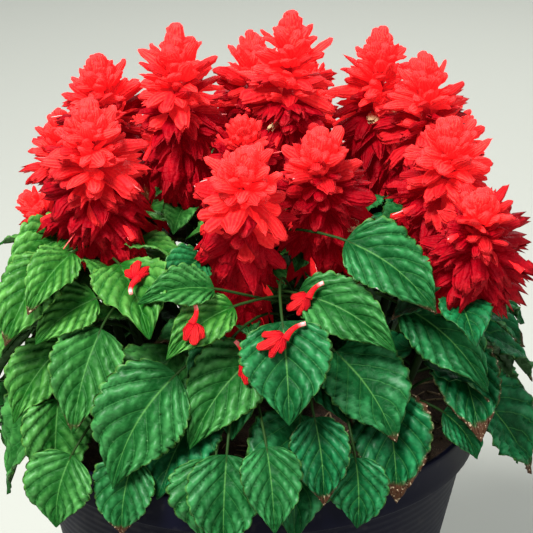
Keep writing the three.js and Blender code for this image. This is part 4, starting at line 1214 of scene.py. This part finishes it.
def make_soil_heap(material):
    """The soil: rings of points from the middle to the wall on the lumpy surface, closed by a plain
    skirt and bottom along the inside of the pot."""
    middle, sides = 0.5, SOIL_SIDES
    edge = wall_radius(SOIL_LEVEL) - POT_WALL - GAP
    low = wall_radius(POT_FLOOR) - POT_WALL - GAP
    base = POT_FLOOR + GAP
    reach = np.concatenate([np.linspace(middle, edge, SOIL_RINGS), [low, middle]])[:, None]
    angle = 2 * np.pi * np.arange(sides) / sides
    points = np.stack([reach * np.cos(angle), reach * np.sin(angle),
                       np.full((SOIL_RINGS + 2, sides), base)], axis=-1)
    points[:-2, :, 2] = soil_surface(points[:-2])
    around = np.arange(sides)
    following = (around + 1) % sides
    last = (SOIL_RINGS + 1) * sides
    count = (SOIL_RINGS + 2) * sides
    fans = np.concatenate([
        np.stack([np.full(sides, count), around, following], axis=-1),
        np.stack([np.full(sides, count + 1), last + following, last + around], axis=-1),
    ])
    poles = [[0, 0, points[0, 0, 2]], [0, 0, base]]
    piece = Piece()
    piece.add(np.concatenate([points.reshape(-1, 3), poles]),
              np.flip(lattice(SOIL_RINGS + 2, sides), axis=-1), fans)
    piece.finish("soil_heap", material, "potting_soil", "soil")


def strewn(count, reach, nearest, rng):
    """Places at random on the soil, as dense everywhere, and how far they are from the middle."""
    azimuth = rng.uniform(0, 2 * np.pi, count)
    away = reach * np.sqrt(rng.uniform(nearest, 1, count))
    places = np.stack([away * np.sin(azimuth), -away * np.cos(azimuth), np.zeros(count)], axis=-1)
    places[:, 2] = soil_surface(places)
    return places, away


def strew_crumbs(material, rng):
    """Crumbs on the soil: uneven octahedra."""
    centre, _ = strewn(CRUMBS, CRUMB_REACH, 0.1, rng)
    centre += 0.4 * UP
    size = rng.uniform(0.7, 2.6, CRUMBS)
    corners = np.array([[1, 0, 0], [0, 1, 0], [-1, 0, 0], [0, -1, 0], [0, 0, 1], [0, 0, -1.0]])
    shape = corners[None] * rng.uniform(0.6, 1.3, (CRUMBS, 6, 1)) * size[:, None, None]
    faces = np.array([[0, 1, 4], [1, 2, 4], [2, 3, 4], [3, 0, 4],
                      [1, 0, 5], [2, 1, 5], [3, 2, 5], [0, 3, 5]])
    triangles = faces[None] + 6 * np.arange(CRUMBS)[:, None, None]
    crumbs = Piece()
    crumbs.add(centre[:, None] + shape, triangles=triangles, tone=np.repeat(rng.random(CRUMBS), 6))
    crumbs.finish("soil_crumbs", material, "potting_soil", "soil")


def strew_straw(material, rng):
    """Bits of straw that lie on the soil, bent down a little at the end."""
    start, away = strewn(STRAWS, STRAW_REACH, 0.15, rng)
    start += 1.4 * UP
    turn = rng.uniform(0, 2 * np.pi, STRAWS)
    way = np.stack([np.cos(turn), np.sin(turn), rng.uniform(-0.15, 0.2, STRAWS)], axis=-1)
    length = np.minimum(rng.uniform(5, 20, STRAWS), 133 - away)
    radius = rng.uniform(0.3, 0.8, STRAWS)
    points, quads, fans, along = threads(start, unit(way), np.tile(-0.12 * UP, (STRAWS, 1)), length,
                                         radius, 0.6, sides=4, rows=4)
    straw = Piece()
    straw.add(points, quads, fans, along=along)
    straw.finish("soil_straw", material, "potting_soil", "soil")


# ---------------------------------------------------------------- node groups and materials
def feed(tree, socket, value):
    """Joins an output to an input, or sets the input to a number or a colour."""
    if isinstance(value, bpy.types.NodeSocket):
        tree.links.new(value, socket)
    elif socket.type == "RGBA":
        socket.default_value = (*value, 1)
    else:
        socket.default_value = value


def put(tree, kind, inputs=None, **settings):
    """A new node with its settings and its inputs by name or number."""
    node = tree.nodes.new(kind)
    for name, value in settings.items():
        setattr(node, name, value)
    for name, value in (inputs or {}).items():
        feed(tree, node.inputs[name], value)
    return node


def reckon(tree, operation, *values):
    """A math node's output."""
    return put(tree, "ShaderNodeMath", dict(enumerate(values)), operation=operation).outputs[0]


def times(tree, first, second, added=0.0):
    """first * second + added."""
    return reckon(tree, "MULTIPLY_ADD", first, second, added)


def less(tree, first, second):
    """first - second."""
    return reckon(tree, "SUBTRACT", first, second)


def stretch(tree, value, low, high, to_low=0.0, to_high=1.0):
    """A value between two limits, spread smoothly over a new range."""
    limits = {"Value": value, "From Min": low, "From Max": high, "To Min": to_low, "To Max": to_high}
    return put(tree, "ShaderNodeMapRange", limits, interpolation_type="SMOOTHSTEP").outputs["Result"]


def blend_of(tree, factor, first, second):
    """A colour between two colours."""
    return put(tree, "ShaderNodeMix", {0: factor, 6: first, 7: second}, data_type="RGBA").outputs[2]


def laid_over(tree, colour, layers):
    """A colour with tints over it, each by a mask times a strength, in the order given."""
    for mask, strength, tint in layers:
        colour = blend_of(tree, times(tree, mask, strength), colour, tint)
    return colour


def object_place(tree):
    """Places on a piece, which are places in space since every piece lies unturned at the origin."""
    return put(tree, "ShaderNodeTexCoord").outputs["Object"]


def noise(tree, scale, detail, roughness=0.5):
    """Lumps in space from 0 to 1; scale is how many there are to a metre."""
    node = put(tree, "ShaderNodeTexNoise", {"Vector": object_place(tree), "Scale": scale,
                                            "Detail": detail, "Roughness": roughness})
    return node.outputs["Fac"]


def cells(tree, scale, wide):
    """Pads between a net of lines in space, scale to a metre: 0 on a line and 1 from wide away."""
    node = put(tree, "ShaderNodeTexVoronoi", {"Vector": object_place(tree), "Scale": scale},
               feature="DISTANCE_TO_EDGE")
    return stretch(tree, node.outputs["Distance"], 0.0, wide)


def mark_of(tree, name):
    """One of a piece's MARKS."""
    return put(tree, "ShaderNodeAttribute", attribute_name=name).outputs["Fac"]


def marks_of(tree, *names):
    """Several of a piece's MARKS."""
    return [mark_of(tree, name) for name in names]


def new_group(name, inputs, outputs):
    """A shader group with float inputs and outputs, its input node and its output node."""
    tree = bpy.data.node_groups.new(name, "ShaderNodeTree")
    for socket, value in inputs.items():
        made = tree.interface.new_socket(socket, in_out="INPUT", socket_type="NodeSocketFloat")
        made.default_value = value
    for socket in outputs:
        tree.interface.new_socket(socket, in_out="OUTPUT", socket_type="NodeSocketFloat")
    return tree, tree.nodes.new("NodeGroupInput"), tree.nodes.new("NodeGroupOutput")


def grouped(tree, group, **inputs):
    """The outputs of a group that is placed in a material with its own values."""
    return put(tree, "ShaderNodeGroup", inputs, node_tree=group).outputs


def mottle_group():
    """Soft patches and fine specks in space. Scale is how many patches there are to a metre, and
    Contrast is the range of the noise that they take up: the less, the harder their edges."""
    tree, given, made = new_group("mottle", {"Scale": 100.0, "Contrast": 0.5}, ["Patches", "Specks"])
    scale = given.outputs["Scale"]
    half = times(tree, given.outputs["Contrast"], 0.5)
    patches = put(tree, "ShaderNodeMapRange", {
        "Value": noise(tree, scale, 3.0, roughness=0.6),
        "From Min": less(tree, 0.5, half),
        "From Max": reckon(tree, "ADD", 0.5, half),
    })
    specks = stretch(tree, noise(tree, times(tree, scale, 9.0), 1.0), 0.58, 0.72)
    feed(tree, made.inputs["Patches"], patches.outputs["Result"])
    feed(tree, made.inputs["Specks"], specks)
    return tree


def mottled(tree, mottle, scale, contrast):
    """The patches and the specks of the mottle group."""
    outputs = grouped(tree, mottle, Scale=scale, Contrast=contrast)
    return outputs["Patches"], outputs["Specks"]


def leaf_vein_group():
    """Masks for a blade from its marks along and across: the midrib, the side veins, the pale
    threads in them and the margin; and the heights of the fine net of veins and of the pads between
    coarser ones. A side vein is where the count of veins that shapes the blade is near a whole
    number."""
    tree, given, made = new_group("leaf veins", {"Along": 0.0, "Across": 0.0, "Veins": float(VEINS)},
                                  ["Midrib", "Side veins", "Threads", "Margin", "Net", "Pucker"])
    along = given.outputs["Along"]
    edge = reckon(tree, "ABSOLUTE", given.outputs["Across"])
    slant = times(tree, times(tree, along, -SLANT_LOSS, 1.0), VEIN_SLANT)
    back = times(tree, reckon(tree, "POWER", edge, VEIN_CURVE), slant)
    ahead = times(tree, reckon(tree, "POWER", along, SPACING), VEIN_REACH)
    count = times(tree, less(tree, ahead, back), given.outputs["Veins"])
    off = reckon(tree, "PINGPONG", count, 0.5)
    midrib_width = times(tree, along, -0.03, 0.045)
    for name, value in (
        ("Midrib", stretch(tree, edge, 0.0, midrib_width, 1.0, 0.0)),
        ("Side veins", stretch(tree, off, 0.03, 0.15, 1.0, 0.0)),
        ("Threads", stretch(tree, off, 0.0, 0.045, 1.0, 0.0)),
        ("Margin", stretch(tree, edge, 0.93, 1.0)),
        ("Net", cells(tree, 420.0, 0.32)),
        ("Pucker", cells(tree, 170.0, 0.4)),
    ):
        feed(tree, made.inputs[name], value)
    return tree


def new_material(name, **settings):
    """A material with a principled shader; settings go on the shader's own sockets."""
    material = bpy.data.materials.new(name)
    material.use_nodes = True
    tree = material.node_tree
    shader = tree.nodes["Principled BSDF"]
    for socket, value in settings.items():
        feed(tree, shader.inputs[socket.replace("_", " ")], value)
    return material, tree, shader


def bump(tree, shader, height, strength, distance):
    """Low relief from a height; distance is in metres."""
    node = put(tree, "ShaderNodeBump", {"Height": height, "Strength": strength, "Distance": distance})
    feed(tree, shader.inputs["Normal"], node.outputs["Normal"])


def foliage_material(mottle, leaf_veins):
    """Deep green leaves. Painted shade and painted highlight follow a blade's relief: the green goes
    from dark in the hollows to bright on the pads, unevenly in patches, and tone makes both yellower.
    Over it lie side veins darkened with painted shade of their grooves, pale threads in them, painted
    shade in the grooves of the fine net, a pale midrib and margin, a paler underside, and brown withered
    tips and margins where the blade is dry. Stems and petioles are a plain dark green. Pads are a
    little waxy."""
    material, tree, shader = new_material("sage green foliage", Roughness=0.38,
                                          Specular_IOR_Level=0.07, Coat_Roughness=0.42)
    along, across, tone, dry, stalk, under, relief = marks_of(
        tree, "along", "across", "tone", "dry", "stalk", "inside", "relief")
    veins = grouped(tree, leaf_veins, Along=along, Across=across)
    patches, specks = mottled(tree, mottle, 70.0, 0.35)
    relief = stretch(tree, relief, 0.12, 0.95)
    # Painted shade and painted highlight: the hollows of a blade's relief are dark green and its pads
    # bright green, mixed by the relief height and unevenly in patches.
    hollow = blend_of(tree, tone, (0.0, 0.032, 0.007), (0.002, 0.064, 0.002))
    pad = blend_of(tree, tone, (0.012, 0.2, 0.062), (0.115, 0.35, 0.062))
    painted_relief_shading = times(tree, patches, 0.14, times(tree, veins["Pucker"], 0.1))
    painted_relief_shading = times(tree, relief, times(tree, patches, 0.5, 0.3), painted_relief_shading)
    colour = laid_over(tree, blend_of(tree, painted_relief_shading, hollow, pad), (
        (specks, 0.07, (0.1, 0.28, 0.1)),
        # Painted shade in the grooves of the fine net between the pads.
        (less(tree, 1.0, veins["Pucker"]), 0.15, (0.001, 0.035, 0.004)),
        # Painted shade in the grooves of the side veins.
        (veins["Side veins"], 0.3, (0.002, 0.035, 0.005)),
        (veins["Threads"], 0.45, (0.04, 0.19, 0.04)),
        (veins["Midrib"], 0.7, (0.075, 0.23, 0.05)),
        (veins["Margin"], 0.4, (0.13, 0.27, 0.03)),
        (under, 0.6, (0.16, 0.3, 0.13)),
        (stalk, 1.0, (0.011, 0.028, 0.005)),
    ))
    near_margin = reckon(tree, "POWER", reckon(tree, "ABSOLUTE", across), 4.0)
    near_tip = stretch(tree, along, 0.7, 0.98, 0.0, 1.5)
    reach = times(tree, dry, times(tree, near_margin, 0.7, near_tip))
    scorch = stretch(tree, times(tree, reach, times(tree, patches, 0.6, 0.4)), 0.22, 0.42)
    withered = blend_of(tree, specks, (0.055, 0.024, 0.012), (0.42, 0.32, 0.2))
    feed(tree, shader.inputs["Base Color"], blend_of(tree, scorch, colour, withered))
    fresh = less(tree, 1.0, reckon(tree, "MAXIMUM", stalk, scorch))
    waxy = times(tree, stretch(tree, relief, 0.35, 0.95, 0.0, 0.3), fresh)
    feed(tree, shader.inputs["Coat Weight"], waxy)
    feed(tree, shader.inputs["Roughness"], stretch(tree, patches, 0.0, 1.0, 0.55, 0.44))
    height = times(tree, veins["Net"], 0.3, veins["Pucker"])
    height = less(tree, height, times(tree, veins["Side veins"], 0.6))
    bump(tree, shader, times(tree, height, less(tree, 1.0, stalk)), 0.55, 0.0006)
    return material


def flower_material(mottle):
    """Scarlet, with painted light and shade: painted shade darkens it to deep crimson at the root and in
    the mouth, painted highlights make the ridges and teeth coral red along fine lengthwise streaks,
    and an emitted glow is painted light that stands in for light coming through the thin petals.
    Florets of low tone are deeper crimson, partly their own colour and partly painted shade. The
    stalk mark makes styles and roots of tubes pale pink and the dry mark makes withered florets straw
    coloured."""
    # The emission strength sets how bright the painted glow below is; the petals are no lamp.
    material, tree, shader = new_material("scarlet petals", Roughness=0.52,
                                          Specular_IOR_Level=0.06, Emission_Strength=0.42)
    along, ridge, tone, inside, pale, dry = marks_of(
        tree, "along", "across", "tone", "inside", "stalk", "dry")
    patches, _ = mottled(tree, mottle, 160.0, 0.4)
    root = stretch(tree, along, 0.0, 0.5)
    # Painted shade: the root of each floret, where the florets crowd together, is deep crimson.
    throat = blend_of(tree, tone, (0.15, 0.0, 0.005), (0.5, 0.003, 0.01))
    body = blend_of(tree, tone, (0.19, 0.0, 0.004), (1.0, 0.018, 0.02))
    streak = stretch(tree, reckon(tree, "PINGPONG", times(tree, ridge, 1.5), 0.5), 0.0, 0.5)
    # Painted highlight: coral red along the ridges, away from the root and most on the upper florets.
    painted_ridge_light = times(tree, times(tree, streak, root), tone)
    # Painted highlight: lighter coral at the mouth's edge and the teeth.
    tip = times(tree, stretch(tree, along, 0.88, 1.0), stretch(tree, tone, 0.0, 1.0, 0.1, 0.4))
    colour = laid_over(tree, blend_of(tree, root, throat, body), (
        (painted_ridge_light, 0.45, (1.0, 0.1, 0.06)),
        (patches, 0.35, (0.6, 0.002, 0.01)),
        (tip, 1.0, (1.0, 0.06, 0.06)),
        # Painted shade: the mouth of an open cup is darkened.
        (inside, 0.8, (0.25, 0.001, 0.006)),
        (dry, 1.0, (0.6, 0.42, 0.22)),
        (pale, 1.0, (0.9, 0.45, 0.42)),
    ))
    feed(tree, shader.inputs["Base Color"], colour)
    # Painted light: an emitted glow, strongest on the upper florets, stands in for light coming through
    # the thin petals.
    painted_glow = blend_of(tree, tone, (0.1, 0.0, 0.002), (1.0, 0.02, 0.026))
    feed(tree, shader.inputs["Emission Color"], painted_glow)
    height = times(tree, noise(tree, 380.0, 3.0), 3.0, streak)
    bump(tree, shader, times(tree, noise(tree, 1400.0, 1.0), 0.5, height), 0.7, 0.0008)
    return material


def pot_material(mottle):
    """Dull dark plum plastic with a little dust in soft patches."""
    material, tree, shader = new_material("dark plum plastic", Roughness=0.48,
                                          Specular_IOR_Level=0.06)
    patches, specks = mottled(tree, mottle, 14.0, 0.6)
    plastic = blend_of(tree, patches, (0.0016, 0.0016, 0.0068), (0.0034, 0.0036, 0.013))
    dusty = laid_over(tree, plastic, ((specks, 0.06, (0.1, 0.09, 0.08)),))
    feed(tree, shader.inputs["Base Color"], dusty)
    feed(tree, shader.inputs["Roughness"], stretch(tree, patches, 0.0, 1.0, 0.42, 0.56))
    bump(tree, shader, noise(tree, 700.0, 2.0), 0.12, 0.0002)
    return material


def soil_material(mottle):
    """Brown peat with dark wet crumbs and paler fibres."""
    material, tree, shader = new_material("brown potting soil", Roughness=0.92)
    patches, specks = mottled(tree, mottle, 160.0, 0.5)
    peat = blend_of(tree, patches, (0.018, 0.009, 0.005), (0.085, 0.045, 0.024))
    fibrous = laid_over(tree, peat, ((specks, 0.7, (0.2, 0.13, 0.075)),))
    feed(tree, shader.inputs["Base Color"], fibrous)
    bump(tree, shader, noise(tree, 900.0, 4.0), 0.9, 0.0012)
    return material


def straw_material():
    """Bleached bits of straw and bark."""
    material, tree, shader = new_material("dry straw", Roughness=0.8)
    streaks = noise(tree, 260.0, 2.0)
    colour = blend_of(tree, streaks, (0.12, 0.06, 0.025), (0.5, 0.36, 0.2))
    feed(tree, shader.inputs["Base Color"], colour)
    bump(tree, shader, streaks, 0.4, 0.0005)
    return material


# ---------------------------------------------------------------- floor, light and camera
# Metres and watts.
FLOOR_SIZE = 14
LAMPS = (
    ("key lamp", (-0.7, -1.0, 2.0), 0.8, 108),
    ("fill lamp", (1.5, -1.0, 1.1), 1.6, 18),
    ("back lamp", (0.4, 1.6, 1.5), 1.4, 24),
)
LAMP_AIM = (0, 0, 0.28)
SKY_COLOUR = (0.86, 0.93, 1.0)
SKY_STRENGTH = 0.33
CAMERA_ELEVATION = 22
CAMERA_DISTANCE = 1.25
CAMERA_TARGET = (0.0097, 0, 0.3017)
CAMERA_LENS = 138.4
CAMERA_SENSOR = 36


def placed(name, data):
    """An object in the scene."""
    thing = bpy.data.objects.new(name, data)
    bpy.context.scene.collection.objects.link(thing)
    return thing


def make_floor():
    """A plain pale square."""
    material, _, _ = new_material("pale floor", Base_Color=(0.42, 0.43, 0.38), Roughness=0.9)
    mesh = bpy.data.meshes.new("studio floor")
    half = FLOOR_SIZE / 2
    mesh.from_pydata([(-half, -half, 0), (half, -half, 0), (half, half, 0), (-half, half, 0)], [],
                     [(0, 1, 2, 3)])
    mesh.materials.append(material)
    return placed("studio floor", mesh)


def make_lamp(name, place, size, power):
    """A large square lamp turned to the plant."""
    lamp = bpy.data.lights.new(name, "AREA")
    lamp.size, lamp.energy = size, power
    holder = placed(name, lamp)
    aim = Vector(LAMP_AIM) - Vector(place)
    holder.location, holder.rotation_euler = place, aim.to_track_quat("-Z", "Y").to_euler()
    return holder


def make_sky():
    """Even soft light from all around, and colours shown as they are."""
    world = bpy.data.worlds.new("soft sky")
    world.use_nodes = True
    background = world.node_tree.nodes["Background"]
    feed(world.node_tree, background.inputs["Color"], SKY_COLOUR)
    feed(world.node_tree, background.inputs["Strength"], SKY_STRENGTH)
    bpy.context.scene.world = world
    bpy.context.scene.view_settings.view_transform = "Standard"


def make_camera():
    """The camera in front of the plant, which looks down on it by CAMERA_ELEVATION."""
    camera = bpy.data.cameras.new("camera")
    camera.lens, camera.sensor_width = CAMERA_LENS, CAMERA_SENSOR
    eye = placed("camera", camera)
    tilt = math.radians(CAMERA_ELEVATION)
    away = Vector((0, -math.cos(tilt), math.sin(tilt))) * CAMERA_DISTANCE
    eye.location = Vector(CAMERA_TARGET) + away
    eye.rotation_euler = (math.pi / 2 - tilt, 0, 0)
    bpy.context.scene.camera = eye
    return eye


def main():
    """The whole object on its stage."""
    stems = [plan_stem(row) for row in SPIKES]
    mottle = mottle_group()
    foliage = foliage_material(mottle, leaf_vein_group())
    petals = flower_material(mottle)
    plastic = pot_material(mottle)
    make_foliage(stems, foliage)
    make_flower_heads(stems, petals)
    make_dropped_flowers(petals)
    make_pot(plastic)
    soil = soil_material(mottle)
    rng = np.random.default_rng(SEED + 5)
    make_soil_heap(soil)
    strew_crumbs(soil, rng)
    strew_straw(straw_material(), rng)
    stage = [make_floor()] + [make_lamp(*lamp) for lamp in LAMPS]
    make_sky()
    eye = make_camera()


main()
